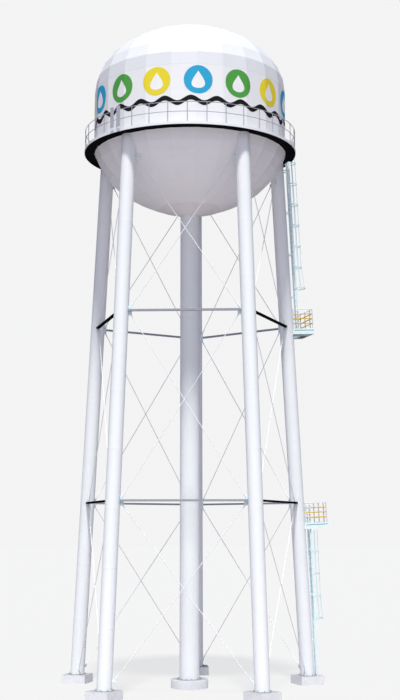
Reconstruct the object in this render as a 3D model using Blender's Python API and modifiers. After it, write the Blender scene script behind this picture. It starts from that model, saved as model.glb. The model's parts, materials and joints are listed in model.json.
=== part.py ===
"""Elevated steel water tank on five leaning legs, in metres, +Z up.

The origin is on the ground under the riser pipe. The front of the tower faces -Y, between two legs.
A place on the tower is given by its turn: 0 degrees is the front and 90 degrees is the +X side.
"""

import math

import bmesh
import bpy
from mathutils import Matrix, Vector

# Touching pieces keep this gap, because meshes hold 32-bit numbers
SEAT = 0.0003

# The tank: a faceted shell with a dome above and a bowl and a shallow dish below
TANK_RADIUS = 5.30
TANK_SIDES = 24
TANK_PLATE = 0.014
RIM_Z = 28.76
WALL_HEIGHT = 3.41
DOME_RISE = 3.66
DOME_COURSES = 8
BOWL_FLANK_ANGLE = 70.0
BOWL_COURSES = 8
DISH_RADIUS = 1.70
DISH_ANGLE = 17.0
DISH_RIM_DROP = 3.04
RISER_RADIUS = 0.525
RISER_SIDES = 24

# The legs: their turns round the tower, and how far out they stand at the ground
LEG_TURNS = {"front_left": -36.0, "front_right": 36.0, "right": 108.0, "back": 180.0, "left": -108.0}
LEG_RADIUS = 0.38
LEG_SIDES = 24
LEG_REACH = 6.574
LEG_LEAN = 0.0536
LADDER_LEG = "right"

# The concrete footings
PAD_SIDE = 1.33
PAD_HEIGHT = 0.45
PAD_TURN = 7.0
BASE_RADIUS = 0.98
BASE_SIDES = 32

# The bracing between neighbouring legs
FACES = {
    "front": ("front_left", "front_right"),
    "right": ("front_right", "right"),
    "back_right": ("right", "back"),
    "back_left": ("back", "left"),
    "left": ("left", "front_left"),
}
STRUT_LEVELS = {"lower": 9.66, "upper": 19.34}
STRUT_WIDTH = 0.15
STRUT_DEPTH = 0.10
ROD_RADIUS = 0.019
ROD_SIDES = 6
# The two rods of a crossing lie this far either side of the face's plane
ROD_OFFSET = 0.006
GUSSET_SIZE = 0.17
GUSSET_THICKNESS = 0.016
FOOT_GUSSET_Z = 0.88
TOP_GUSSET_Z = 27.50
GUSSET_TO_STRUT = 0.17

# The balcony round the tank's rim
DECK_RADIUS = 5.84
DECK_SIDES = 36
DECK_PLATE = 0.02
CURB_HEIGHT = 0.15
CURB_THICKNESS = 0.02
RAIL_HEIGHT = 1.067
POST_RADIUS = 0.022
RAIL_RADIUS = 0.018
RAIL_SIDES = 6
# Every post stands this far above its top rail
POST_CAP = 0.005
POST_STEP = 10.0
POST_OFFSET = 2.0
POSTS_PER_SECTOR = 9
# Each sector's first post; the bay before the back right sector is open for the ladder
SECTORS = {"back_right": 11, "back_left": 20, "front_left": 29, "front_right": 38}
GATE_SECTOR = "front_right"

# The ladder in three flights, with cages on the lower and upper ones
LADDER_WIDTH = 0.40
STILE_WIDTH = 0.085
STILE_THICKNESS = 0.014
RUNG_RADIUS = 0.013
RUNG_SIDES = 4
RUNG_SPACING = 0.305
LOWER_LADDER_REACH = (7.08, 6.69)
LOWER_LADDER_TOP = 9.55
# The middle and upper flights stand this far from the leg's axis, outwards and sideways
MIDDLE_LADDER_PLACE = (0.35, 0.95)
UPPER_LADDER_PLACE = (0.645, 0.0)
UPPER_LADDER_TOP = 29.95
ABOVE_DECK = 1.05
BRACKET_FIRST = 1.90
BRACKET_SPACING = 2.40
BRACKET_LENGTH = 0.70
BRACKET_HEIGHT = 0.05
BRACKET_THICKNESS = 0.010
CAGE_RADIUS = 0.35
CAGE_DEPTH = 0.47
HOOP_WIDTH = 0.06
HOOP_THICKNESS = 0.012
HOOP_SPACING = 1.195
HOOP_ARC_STEPS = 8
STRAP_WIDTH = 0.05
STRAP_THICKNESS = 0.010
# Each cage's lowest hoop, how many hoops it has, how far the lowest flares, and where its straps end
CAGES = {"lower": (3.42, 4, 0.06, 8.17), "upper": (21.54, 8, 0.12, 29.94)}

# The balcony's notch that lets the ladder and its cage through: from the tower's axis, and to each side
NOTCH_REACH = (5.60, 6.00)
NOTCH_HALF_WIDTH = 0.372

# The two rest platforms on the ladder's leg, square to the leaning leg, mostly on its far side
PLATFORM_DECK_Z = {"lower": 8.434, "upper": 19.129}
PLATFORM_OUTER = {"lower": 1.61, "upper": 1.51}
PLATFORM_INNER = 0.26
PLATFORM_SIDES = (-0.30, 1.75)
PLATFORM_DEPTH = 0.20
PLATFORM_PLATE = 0.012
PLATFORM_BEAM = 0.05
# The beams under the deck lie between these sideways spans
BAYS = {"lower": ((-0.25, 0.34), (0.39, 1.02), (1.07, 1.70)), "upper": ((-0.25, 0.53), (1.37, 1.70))}
# The way through each deck, as its span outwards and its span sideways
HATCHES = {"lower": ((0.48, 1.22), (-0.25, 0.34)), "upper": ((0.0, 1.05), (0.58, 1.32))}
TOE_HEIGHT = 0.12
TOE_THICKNESS = 0.012
TOE_INSET = 0.008
GUARD_HEIGHT = 1.21
GUARD_RAILS = (0.41, 0.68, 0.94)
GUARD_POST_WIDTH = 0.044
# The guard's innermost posts, clear of the leg
GUARD_INNER = 0.36
GUARD_RAIL_RADIUS = 0.016
# The guard's posts along the outer side between its corners, and its last post on the inner side
GUARD_OUTER_POSTS = (0.17, 0.94)
GUARD_LAST_POST = 1.42

# Two upright flat panels clamped outside the hand rail, either side of one post
PANEL_POST_TURN = -38.0
PANEL_SPREAD = 2.25
PANEL_WIDTH = 0.20
PANEL_HEIGHT = 1.10
PANEL_DEPTH = 0.06
PANEL_LIFT = 0.10
PANEL_STAND_OFF = 0.05
CLAMP_WIDTH = 0.06


def clear_scene():
    """Remove the objects that Blender starts with."""
    for old in list(bpy.data.objects):
        bpy.data.objects.remove(old, do_unlink=True)


def collection(name):
    """Return a new collection linked to the scene."""
    made = bpy.data.collections.new(name)
    bpy.context.scene.collection.children.link(made)
    return made


def material(name, colour, roughness, metallic):
    """Return a Principled BSDF material."""
    made = bpy.data.materials.new(name)
    made.use_nodes = True
    shader = made.node_tree.nodes["Principled BSDF"]
    shader.inputs["Base Color"].default_value = (*colour, 1.0)
    shader.inputs["Roughness"].default_value = roughness
    shader.inputs["Metallic"].default_value = metallic
    return made


def object_from(bm, name, finish, group):
    """Turn a bmesh into a named object with one material."""
    bmesh.ops.recalc_face_normals(bm, faces=bm.faces[:])
    mesh = bpy.data.meshes.new(name)
    bm.to_mesh(mesh)
    bm.free()
    if finish is not None:
        mesh.materials.append(finish)
    made = bpy.data.objects.new(name, mesh)
    group.objects.link(made)
    return made


def helper(bm, name, group):
    """Turn a bmesh into a wire object that only shapes others."""
    return hide(object_from(bm, name, None, group))


def hide(made):
    """Mark an object as a helper, which isn't part of the tower."""
    made.hide_render = True
    made.display_type = "WIRE"
    return made


def smooth(made, angle=30.0):
    """Shade a round piece smooth, with edges sharper than the angle kept."""
    made.data.shade_smooth()
    made.data.set_sharp_from_angle(angle=math.radians(angle))


def combine(made, others, operation):
    """Add a Boolean with each other object."""
    for other in others:
        step = made.modifiers.new(operation.lower() + "_" + other.name, "BOOLEAN")
        step.operation = operation
        step.solver = "EXACT"
        step.object = other


def outward(turn):
    """Return the level direction that points away from the tower's axis at a turn in degrees."""
    angle = math.radians(turn)
    return Vector((math.sin(angle), -math.cos(angle), 0.0))


def sideways(turn):
    """Return the level direction along the tower's circle at a turn, towards larger turns."""
    angle = math.radians(turn)
    return Vector((math.cos(angle), math.sin(angle), 0.0))


def up(height):
    """Return a step straight up."""
    return Vector((0.0, 0.0, height))


def frame(x_axis, y_axis, z_axis, origin):
    """Return the matrix that places local axes and an origin in the world."""
    placed = Matrix((x_axis, y_axis, z_axis)).transposed().to_4x4()
    placed.translation = origin
    return placed


def leg_centre(leg, z):
    """Return the centre of a leg at a height."""
    return outward(LEG_TURNS[leg]) * (LEG_REACH - LEG_LEAN * z) + up(z)


def leg_frame(leg, z):
    """Return a leg's own frame at a height: x away from the tower, y sideways, z up along the leg."""
    turn = LEG_TURNS[leg]
    along = (up(1.0) - outward(turn) * LEG_LEAN).normalized()
    side = sideways(turn)
    return frame(side.cross(along), side, along, leg_centre(leg, z))


def face_frame(face, z):
    """Return one face's frame at a height, and its length between leg centres.

    x runs along the face, y towards the tower's axis and z up the leaning face.
    """
    first, last = FACES[face]
    start, end = leg_centre(first, z), leg_centre(last, z)
    above = leg_centre(first, z + 1.0) + leg_centre(last, z + 1.0)
    along = (end - start).normalized()
    rise = (above - start - end).normalized()
    return frame(along, rise.cross(along), rise, (start + end) / 2), (end - start).length


def add_box(bm, low, high, place=None):
    """Add a box between two corners of a local frame."""
    low, high = Vector(low), Vector(high)
    size = Matrix.Diagonal((*(high - low), 1.0))
    at = Matrix.Translation((low + high) / 2)
    bmesh.ops.create_cube(bm, size=1.0, matrix=(place or Matrix()) @ at @ size)


def add_rod(bm, start, end, radius, sides):
    """Add a round bar between two points."""
    start, end = Vector(start), Vector(end)
    along = end - start
    placed = along.to_track_quat("Z", "Y").to_matrix().to_4x4()
    placed.translation = (start + end) / 2
    bmesh.ops.create_cone(
        bm, cap_ends=True, segments=sides, radius1=radius, radius2=radius, depth=along.length, matrix=placed
    )


def add_leaning_bar(bm, leg, radius, bottom, top):
    """Add a leaning cylinder on a leg's axis, with level ends."""
    foot, head = leg_centre(leg, bottom), leg_centre(leg, top)
    slope = (head - foot) / (top - bottom)
    shear = Matrix.Identity(4)
    shear[0][2] = slope.x
    shear[1][2] = slope.y
    facing = Matrix.Rotation(math.radians(LEG_TURNS[leg]), 4, "Z")
    placed = Matrix.Translation((foot + head) / 2) @ shear @ facing
    bmesh.ops.create_cone(
        bm, cap_ends=True, segments=LEG_SIDES, radius1=radius, radius2=radius, depth=top - bottom, matrix=placed
    )


def add_ribbon(bm, rows):
    """Add a strip of faces through rows of points, for a Solidify to thicken."""
    lines = [[bm.verts.new(point) for point in row] for row in rows]
    for here, there in zip(lines, lines[1:]):
        for k in range(len(here) - 1):
            bm.faces.new((here[k], here[k + 1], there[k + 1], there[k]))


def thicken(made, thickness):
    """Give a ribbon an even thickness, half to each side."""
    step = made.modifiers.new("thickness", "SOLIDIFY")
    step.thickness = thickness
    step.offset = 0.0
    step.use_even_offset = True


def turned(name, profile, sides, turn, finish, group):
    """Make a turned solid from a profile of (radius, height) points, run down its outer side.

    A profile that starts and ends on the axis stays open there, and any other closes on itself.
    """
    mesh = bpy.data.meshes.new(name)
    count = len(profile)
    on_axis = profile[0][0] == 0.0 and profile[-1][0] == 0.0
    edges = [(k, (k + 1) % count) for k in range(count - 1 if on_axis else count)]
    mesh.from_pydata([(radius, 0.0, z) for radius, z in profile], edges, [])
    if finish is not None:
        mesh.materials.append(finish)
    made = bpy.data.objects.new(name, mesh)
    group.objects.link(made)
    made.rotation_euler.z = math.radians(turn)
    screw = made.modifiers.new("turn", "SCREW")
    screw.angle = math.radians(360.0)
    screw.steps = sides
    screw.render_steps = sides
    screw.use_merge_vertices = True
    screw.merge_threshold = 0.0001
    screw.use_smooth_shade = False
    return made


def bowl_profile(shift):
    """Return the bowl's points from the rim down to the dish, moved inwards by a shift.

    The curve is a parabola, tangent to the steep flank at the rim and to the shallow dish below.
    """
    rim = Vector((TANK_RADIUS, RIM_Z))
    dish = Vector((DISH_RADIUS, RIM_Z - DISH_RIM_DROP))
    flank = math.tan(math.radians(BOWL_FLANK_ANGLE))
    floor = math.tan(math.radians(DISH_ANGLE))
    corner_radius = (dish.y - floor * dish.x - rim.y + flank * rim.x) / (flank - floor)
    corner = Vector((corner_radius, dish.y + floor * (corner_radius - dish.x)))
    points = []
    for k in range(BOWL_COURSES + 1):
        t = k / BOWL_COURSES
        point = rim * (1 - t) ** 2 + corner * 2 * t * (1 - t) + dish * t ** 2
        tangent = (corner - rim) * (1 - t) + (dish - corner) * t
        inward = Vector((tangent.y, -tangent.x)).normalized()
        points.append(tuple(point + inward * shift))
    return points


def dome_profile(shift):
    """Return the dome's points from its top down to the wall, moved inwards by a shift: a quarter ellipse."""
    base = RIM_Z + WALL_HEIGHT
    points = [(0.0, base + DOME_RISE - shift)]
    for k in range(1, DOME_COURSES + 1):
        angle = math.pi / 2 * (1 - k / DOME_COURSES)
        points.append(((TANK_RADIUS - shift) * math.cos(angle), base + (DOME_RISE - shift) * math.sin(angle)))
    return points


def riser_neck_z():
    """Return the height at which the dish meets the riser pipe."""
    slope = math.tan(math.radians(DISH_ANGLE))
    return RIM_Z - DISH_RIM_DROP - slope * (DISH_RADIUS - RISER_RADIUS)


def tank(group, finish):
    """Make the tank's wall, dome and bowl, and the dish over the riser."""
    facet_turn = 180.0 / TANK_SIDES
    wall_top = RIM_Z + WALL_HEIGHT - SEAT
    wall_bottom = RIM_Z + SEAT
    inside = TANK_RADIUS - TANK_PLATE
    wall = [(TANK_RADIUS, wall_top), (TANK_RADIUS, wall_bottom), (inside, wall_bottom), (inside, wall_top)]
    turned("tank_wall", wall, TANK_SIDES, facet_turn, finish, group)

    dome = dome_profile(0.0) + dome_profile(TANK_PLATE)[::-1]
    turned("roof_dome", dome, TANK_SIDES, facet_turn, finish, group)

    lift = TANK_PLATE / math.cos(math.radians(DISH_ANGLE))
    dish_z = RIM_Z - DISH_RIM_DROP
    inner = bowl_profile(TANK_PLATE)
    inner[0] = (inside, RIM_Z)
    inner[-1] = (DISH_RADIUS, dish_z + lift)
    turned("tank_bowl", bowl_profile(0.0) + inner[::-1], TANK_SIDES, facet_turn, finish, group)

    rim, neck_z = DISH_RADIUS - SEAT, riser_neck_z()
    dish = [(rim, dish_z), (RISER_RADIUS, neck_z), (RISER_RADIUS, neck_z + lift), (rim, dish_z + lift)]
    turned("riser_dish", dish, TANK_SIDES, facet_turn, finish, group)


def tank_room(group):
    """Make the solid that keeps the leg tops clear of the bowl."""
    bowl = [(radius + SEAT, z - SEAT) for radius, z in bowl_profile(0.0)]
    profile = [(0.0, RIM_Z + 1.0), (TANK_RADIUS + SEAT, RIM_Z + 1.0)] + bowl + [(0.0, bowl[-1][1])]
    return hide(turned("tank_room", profile, TANK_SIDES, 180.0 / TANK_SIDES, None, group))


def wall_room(group):
    """Make the solid that keeps the balcony deck clear of the tank wall."""
    reach = TANK_RADIUS + SEAT
    profile = [(0.0, RIM_Z + 1.0), (reach, RIM_Z + 1.0), (reach, RIM_Z - 1.0), (0.0, RIM_Z - 1.0)]
    return hide(turned("wall_room", profile, TANK_SIDES, 180.0 / TANK_SIDES, None, group))


def leg_rooms(group):
    """Make one helper for each leg, wider than the leg by the seat gap."""
    made = {}
    for leg in LEG_TURNS:
        bm = bmesh.new()
        add_leaning_bar(bm, leg, LEG_RADIUS + SEAT, PAD_HEIGHT / 2, RIM_Z + 1.0)
        made[leg] = helper(bm, "room_of_leg_" + leg, group)
    return made


def footings(group, finish):
    """Make the five square pads and the round base under the riser."""
    half = PAD_SIDE / 2
    for leg, turn in LEG_TURNS.items():
        facing = turn + PAD_TURN
        ground = leg_centre(leg, PAD_HEIGHT) - up(PAD_HEIGHT)
        bm = bmesh.new()
        add_box(
            bm, (-half, -half, 0.0), (half, half, PAD_HEIGHT), frame(outward(facing), sideways(facing), up(1.0), ground)
        )
        object_from(bm, "foot_pad_" + leg, finish, group)
    bm = bmesh.new()
    add_rod(bm, up(0.0), up(PAD_HEIGHT), BASE_RADIUS, BASE_SIDES)
    smooth(object_from(bm, "riser_base", finish, group))


def legs(group, finish, room):
    """Make the five legs, cut to the bowl at their tops, and the riser pipe."""
    for leg in LEG_TURNS:
        bm = bmesh.new()
        add_leaning_bar(bm, leg, LEG_RADIUS, PAD_HEIGHT + SEAT, RIM_Z - SEAT)
        made = object_from(bm, "leg_" + leg, finish, group)
        combine(made, [room], "DIFFERENCE")
        smooth(made)
    bm = bmesh.new()
    add_rod(bm, up(PAD_HEIGHT + SEAT), up(riser_neck_z() - SEAT), RISER_RADIUS, RISER_SIDES)
    smooth(object_from(bm, "riser_pipe", finish, group))


def struts(group, finish, rooms):
    """Make the level struts between neighbouring legs, just outside the gusset plates."""
    inner = -GUSSET_THICKNESS / 2 - SEAT
    for level, z in STRUT_LEVELS.items():
        for face, ends in FACES.items():
            place, length = face_frame(face, z)
            half = length / 2 - LEG_RADIUS / 2
            bm = bmesh.new()
            add_box(bm, (-half, inner - STRUT_WIDTH, -STRUT_DEPTH / 2), (half, inner, STRUT_DEPTH / 2), place)
            made = object_from(bm, "strut_" + level + "_" + face, finish, group)
            combine(made, [rooms[leg] for leg in ends], "DIFFERENCE")


def gusset_spans():
    """Return the low and high edge of each gusset plate, from the feet up."""
    half = GUSSET_SIZE / 2
    spans = [(FOOT_GUSSET_Z - half, FOOT_GUSSET_Z + half)]
    for z in STRUT_LEVELS.values():
        spans.append((z - GUSSET_TO_STRUT - half, z + GUSSET_TO_STRUT + half))
    spans.append((TOP_GUSSET_Z - half, TOP_GUSSET_Z + half))
    return spans


def rod_tiers():
    """Return the heights of the rod ends in each tier: a gusset plate holds them near its edges."""
    spans = gusset_spans()
    half = GUSSET_SIZE / 2
    return [(low[1] - half, high[0] + half) for low, high in zip(spans, spans[1:])]


def tie_rods(group, finish, rooms, helpers):
    """Make each face's crossed rods in three tiers, joined by the gusset plates that hold their ends."""
    for face, ends in FACES.items():
        bm = bmesh.new()
        for low_z, high_z in gusset_spans():
            place, length = face_frame(face, (low_z + high_z) / 2)
            outer = length / 2 - LEG_RADIUS / 2
            inner = length / 2 - LEG_RADIUS - GUSSET_SIZE
            for way in (-1, 1):
                across = sorted((way * inner, way * outer))
                add_box(
                    bm,
                    (across[0], -GUSSET_THICKNESS / 2, (low_z - high_z) / 2),
                    (across[1], GUSSET_THICKNESS / 2, (high_z - low_z) / 2),
                    place,
                )
        made = object_from(bm, "tie_rods_" + face, finish, group)
        crossing = []
        for way in (-1, 1):
            bm = bmesh.new()
            for low_z, high_z in rod_tiers():
                low, low_length = face_frame(face, low_z)
                high, high_length = face_frame(face, high_z)
                reach = LEG_RADIUS + GUSSET_SIZE / 2
                start = low @ Vector((-way * (low_length / 2 - reach), way * ROD_OFFSET, 0.0))
                end = high @ Vector((way * (high_length / 2 - reach), way * ROD_OFFSET, 0.0))
                add_rod(bm, start, end, ROD_RADIUS, ROD_SIDES)
            crossing.append(helper(bm, "rods_" + face + ("_rising" if way > 0 else "_falling"), helpers))
        combine(made, [rooms[leg] for leg in ends], "DIFFERENCE")
        combine(made, crossing, "UNION")


def balcony_deck(group, finish, room, helpers):
    """Make the balcony's ring: a plate with a curb, fitted round the tank and notched for the ladder."""
    root = TANK_RADIUS - 0.10
    bottom = RIM_Z + SEAT
    top = RIM_Z + DECK_PLATE
    curb_top = RIM_Z + CURB_HEIGHT
    curb_inner = DECK_RADIUS - CURB_THICKNESS
    profile = [
        (curb_inner, curb_top),
        (DECK_RADIUS, curb_top),
        (DECK_RADIUS, bottom),
        (root, bottom),
        (root, top),
        (curb_inner, top),
    ]
    made = turned("balcony_deck", profile, DECK_SIDES, POST_OFFSET, finish, group)
    turn = LEG_TURNS[LADDER_LEG]
    inner, outer = NOTCH_REACH
    half = NOTCH_HALF_WIDTH
    bm = bmesh.new()
    add_box(
        bm, (inner, -half, RIM_Z - 1.0), (outer, half, RIM_Z + 1.0), frame(outward(turn), sideways(turn), up(1.0), up(0.0))
    )
    combine(made, [room, helper(bm, "ladder_notch", helpers)], "DIFFERENCE")


def post_reach():
    """Return how far from the tower's axis the hand rail's posts stand."""
    return DECK_RADIUS - CURB_THICKNESS - POST_RADIUS - SEAT


def rail_heights():
    """Return the heights of the middle rail and the top rail of the balcony."""
    curb_top = RIM_Z + CURB_HEIGHT
    return curb_top + RAIL_HEIGHT / 2, curb_top + RAIL_HEIGHT - POST_CAP - RAIL_RADIUS


def balcony_railing(group, finish, helpers):
    """Make the hand rail in four sectors: posts every ten degrees, with a top rail and a middle rail."""
    reach = post_reach()
    into_post = 0.004
    short_of_post = POST_RADIUS + SEAT
    for sector, first in SECTORS.items():
        posts = bmesh.new()
        rails = bmesh.new()
        for k in range(first, first + POSTS_PER_SECTOR):
            turn = POST_OFFSET + POST_STEP * k
            here = outward(turn) * reach
            there = outward(turn + POST_STEP) * reach
            add_rod(
                posts,
                here + up(RIM_Z + DECK_PLATE + SEAT),
                here + up(RIM_Z + CURB_HEIGHT + RAIL_HEIGHT),
                POST_RADIUS,
                RAIL_SIDES,
            )
            is_last = k == first + POSTS_PER_SECTOR - 1
            if is_last and sector == GATE_SECTOR:
                continue
            along = (there - here).normalized()
            end = there - along * (short_of_post if is_last else into_post)
            for z in rail_heights():
                add_rod(rails, here + along * into_post + up(z), end + up(z), RAIL_RADIUS, RAIL_SIDES)
        made = object_from(posts, "balcony_railing_" + sector, finish, group)
        combine(made, [helper(rails, "rails_" + sector, helpers)], "UNION")


def ladder_frame(flight):
    """Return a flight's frame and length: x across the rungs, y away from the tower, z up the flight."""
    turn = LEG_TURNS[LADDER_LEG]
    side, way = sideways(turn), outward(turn)
    if flight == "lower":
        start = way * LOWER_LADDER_REACH[0] + up(PAD_HEIGHT + 0.004)
        end = way * LOWER_LADDER_REACH[1] + up(LOWER_LADDER_TOP)
    else:
        decks = PLATFORM_DECK_Z
        out, along = MIDDLE_LADDER_PLACE if flight == "middle" else UPPER_LADDER_PLACE
        bottom, top = (decks["lower"], decks["upper"] + ABOVE_DECK) if flight == "middle" else (decks["upper"], None)
        beside = way * out + side * along
        start = leg_frame(LADDER_LEG, bottom) @ Vector((out, along, 0.004))
        end = leg_centre(LADDER_LEG, top or UPPER_LADDER_TOP) + beside
    rise = (end - start).normalized()
    across = -side
    return frame(across, rise.cross(across), rise, start), (end - start).length


def ladder(group, finish, flight, rooms, helpers):
    """Make one flight: two flat stiles with rungs, and the brackets that hold them to the leg."""
    place, length = ladder_frame(flight)
    half = LADDER_WIDTH / 2
    bm = bmesh.new()
    for way in (-1, 1):
        across = sorted((way * half, way * (half + STILE_THICKNESS)))
        add_box(bm, (across[0], -STILE_WIDTH / 2, 0.0), (across[1], STILE_WIDTH / 2, length), place)
    made = object_from(bm, "ladder_" + flight, finish, group)

    rungs = bmesh.new()
    into_stile = half + STILE_THICKNESS / 2
    for k in range(int((length - 0.35) / RUNG_SPACING) + 1):
        z = 0.2 + RUNG_SPACING * k
        add_rod(
            rungs, place @ Vector((-into_stile, 0.0, z)), place @ Vector((into_stile, 0.0, z)), RUNG_RADIUS, RUNG_SIDES
        )

    brackets = bmesh.new()
    inner = half + STILE_THICKNESS / 2
    for k in range(int((length - BRACKET_FIRST - ABOVE_DECK) / BRACKET_SPACING) + 1):
        low = BRACKET_FIRST + BRACKET_SPACING * k
        high = low + BRACKET_HEIGHT
        if flight == "middle":
            end = MIDDLE_LADDER_PLACE[1] - LEG_RADIUS / 3
            add_box(brackets, (inner, -BRACKET_THICKNESS, low), (end, 0.0, high), place)
            continue
        for way in (-1, 1):
            across = sorted((way * inner, way * (inner + BRACKET_THICKNESS)))
            add_box(brackets, (across[0], -BRACKET_LENGTH, low), (across[1], STILE_WIDTH / 4, high), place)
    combine(made, [helper(rungs, "rungs_" + flight, helpers)], "UNION")
    combine(made, [helper(brackets, "brackets_" + flight, helpers)], "UNION")
    combine(made, [rooms[LADDER_LEG]], "DIFFERENCE")


def hoop_path(spread):
    """Return a hoop's points across and away from the ladder: from one stile round to the other."""
    radius = CAGE_RADIUS + spread / 2
    centre = CAGE_DEPTH + spread - radius
    start = LADDER_WIDTH / 2 + STILE_THICKNESS + SEAT + HOOP_THICKNESS / 2
    points = [(start, -STILE_WIDTH / 2), (start, STILE_WIDTH / 2)]
    for k in range(HOOP_ARC_STEPS + 1):
        angle = math.pi * k / HOOP_ARC_STEPS
        points.append((radius * math.cos(angle), centre + radius * math.sin(angle)))
    points += [(-start, STILE_WIDTH / 2), (-start, -STILE_WIDTH / 2)]
    return points


def cage(group, finish, flight, helpers):
    """Make one cage: hoops round the ladder's back, the lowest one flared, joined by five straps."""
    place, _ = ladder_frame(flight)
    first_z, count, flare, end_z = CAGES[flight]
    low, top = ((z - place.translation.z) / place[2][2] for z in (first_z, end_z))
    hoops = bmesh.new()
    for k in range(count):
        z = low + HOOP_SPACING * k
        path = hoop_path(0.0 if k else flare)
        rows = [[place @ Vector((x, y, z + step)) for x, y in path] for step in (0.0, HOOP_WIDTH)]
        add_ribbon(hoops, rows)
    made = object_from(hoops, "cage_" + flight, finish, group)
    thicken(made, HOOP_THICKNESS)

    straps = bmesh.new()
    overlap = 0.003
    for k in range(0, HOOP_ARC_STEPS + 1, 2):
        angle = math.pi * k / HOOP_ARC_STEPS
        rows = []
        for z, spread in ((low, flare), (low + HOOP_SPACING, 0.0), (top, 0.0)):
            radius = CAGE_RADIUS + spread / 2
            centre = CAGE_DEPTH + spread - radius
            reach = radius - HOOP_THICKNESS / 2 - STRAP_THICKNESS / 2 + overlap
            middle = Vector((reach * math.cos(angle), centre + reach * math.sin(angle), z))
            half = Vector((-math.sin(angle), math.cos(angle), 0.0)) * STRAP_WIDTH / 2
            rows.append([place @ (middle - half), place @ (middle + half)])
        add_ribbon(straps, rows)
    strap_set = helper(straps, "straps_" + flight, helpers)
    thicken(strap_set, STRAP_THICKNESS)
    combine(made, [strap_set], "UNION")


def platform(group, finish, level, rooms, helpers):
    """Make one rest platform: a beamed deck beside the leg, with a way through and toe boards on three sides."""
    place = leg_frame(LADDER_LEG, PLATFORM_DECK_Z[level])
    near, far = PLATFORM_SIDES
    outer = PLATFORM_OUTER[level]
    bm = bmesh.new()
    add_box(bm, (PLATFORM_INNER, near, -PLATFORM_DEPTH), (outer, far, 0.0), place)
    made = object_from(bm, "platform_" + level, finish, group)

    bays = bmesh.new()
    under = -PLATFORM_DEPTH - 0.1
    inside = (PLATFORM_INNER + PLATFORM_BEAM, outer - PLATFORM_BEAM)
    for start, end in BAYS[level]:
        add_box(bays, (inside[0], start, under), (inside[1], end, -PLATFORM_PLATE), place)
    hatch = bmesh.new()
    (hatch_inner, hatch_outer), (start, end) = HATCHES[level]
    add_box(hatch, (hatch_inner, start, under), (hatch_outer, end, 0.1), place)
    cutters = [helper(bays, "bays_" + level, helpers), helper(hatch, "hatch_" + level, helpers), rooms[LADDER_LEG]]
    combine(made, cutters, "DIFFERENCE")

    toe = bmesh.new()
    inner = PLATFORM_INNER + 2 * TOE_INSET
    path = [
        (inner, near + TOE_INSET),
        (outer - TOE_INSET, near + TOE_INSET),
        (outer - TOE_INSET, far - TOE_INSET),
        (inner, far - TOE_INSET),
    ]
    add_ribbon(toe, [[place @ Vector((x, y, z)) for x, y in path] for z in (-PLATFORM_PLATE / 2, TOE_HEIGHT)])
    toe_board = helper(toe, "toe_board_" + level, helpers)
    thicken(toe_board, TOE_THICKNESS)
    combine(made, [toe_board], "UNION")


def platform_guard(group, finish, level, helpers):
    """Make a platform's guard rail on its free sides: square posts, three bars and a top rail."""
    place = leg_frame(LADDER_LEG, PLATFORM_DECK_Z[level])
    half = GUARD_POST_WIDTH / 2
    inset = TOE_INSET + TOE_THICKNESS / 2 + half + SEAT
    inner = GUARD_INNER
    outer = PLATFORM_OUTER[level] - inset
    near, far = PLATFORM_SIDES[0] + inset, PLATFORM_SIDES[1] - inset
    corners = [(inner, near), (outer, near)]
    corners += [(outer, y) for y in GUARD_OUTER_POSTS]
    corners += [(outer, far), (inner, far), (inner, GUARD_LAST_POST)]
    posts = bmesh.new()
    for x, y in corners:
        add_box(posts, (x - half, y - half, SEAT), (x + half, y + half, GUARD_HEIGHT), place)
    made = object_from(posts, "platform_guard_" + level, finish, group)
    rails = bmesh.new()
    into_post = GUARD_RAIL_RADIUS + SEAT
    for height in (*GUARD_RAILS, GUARD_HEIGHT - POST_CAP - GUARD_RAIL_RADIUS):
        for start, end in zip(corners, corners[1:]):
            here, there = Vector((*start, height)), Vector((*end, height))
            step = (there - here).normalized() * into_post
            add_rod(rails, place @ (here + step), place @ (there - step), GUARD_RAIL_RADIUS, RAIL_SIDES)
    combine(made, [helper(rails, "guard_rails_" + level, helpers)], "UNION")


def rail_panels(group, finish, helpers):
    """Make the two upright panels outside the hand rail, each with two clamps that reach its rails."""
    for name, way in (("left", -1), ("right", 1)):
        turn = PANEL_POST_TURN + way * PANEL_SPREAD
        from_bay_middle = math.radians(POST_STEP / 2 - PANEL_SPREAD)
        rail_reach = post_reach() * math.cos(math.radians(POST_STEP / 2)) / math.cos(from_bay_middle)
        slack = CLAMP_WIDTH / 2 * math.tan(from_bay_middle)
        rail_flat = RAIL_RADIUS * math.cos(math.pi / RAIL_SIDES) / math.cos(from_bay_middle)
        clamp_inner = rail_reach + rail_flat + slack + SEAT
        back = DECK_RADIUS + PANEL_STAND_OFF
        place = frame(-sideways(turn), outward(turn), up(1.0), up(0.0))
        bottom = RIM_Z + CURB_HEIGHT + PANEL_LIFT
        bm = bmesh.new()
        add_box(
            bm, (-PANEL_WIDTH / 2, back, bottom), (PANEL_WIDTH / 2, back + PANEL_DEPTH, bottom + PANEL_HEIGHT), place
        )
        made = object_from(bm, "rail_panel_" + name, finish, group)
        clamps = bmesh.new()
        for z in rail_heights():
            add_box(
                clamps,
                (-CLAMP_WIDTH / 2, clamp_inner, z - RAIL_RADIUS),
                (CLAMP_WIDTH / 2, back + 0.01, z + RAIL_RADIUS),
                place,
            )
        combine(made, [helper(clamps, "clamps_" + name, helpers)], "UNION")


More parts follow.
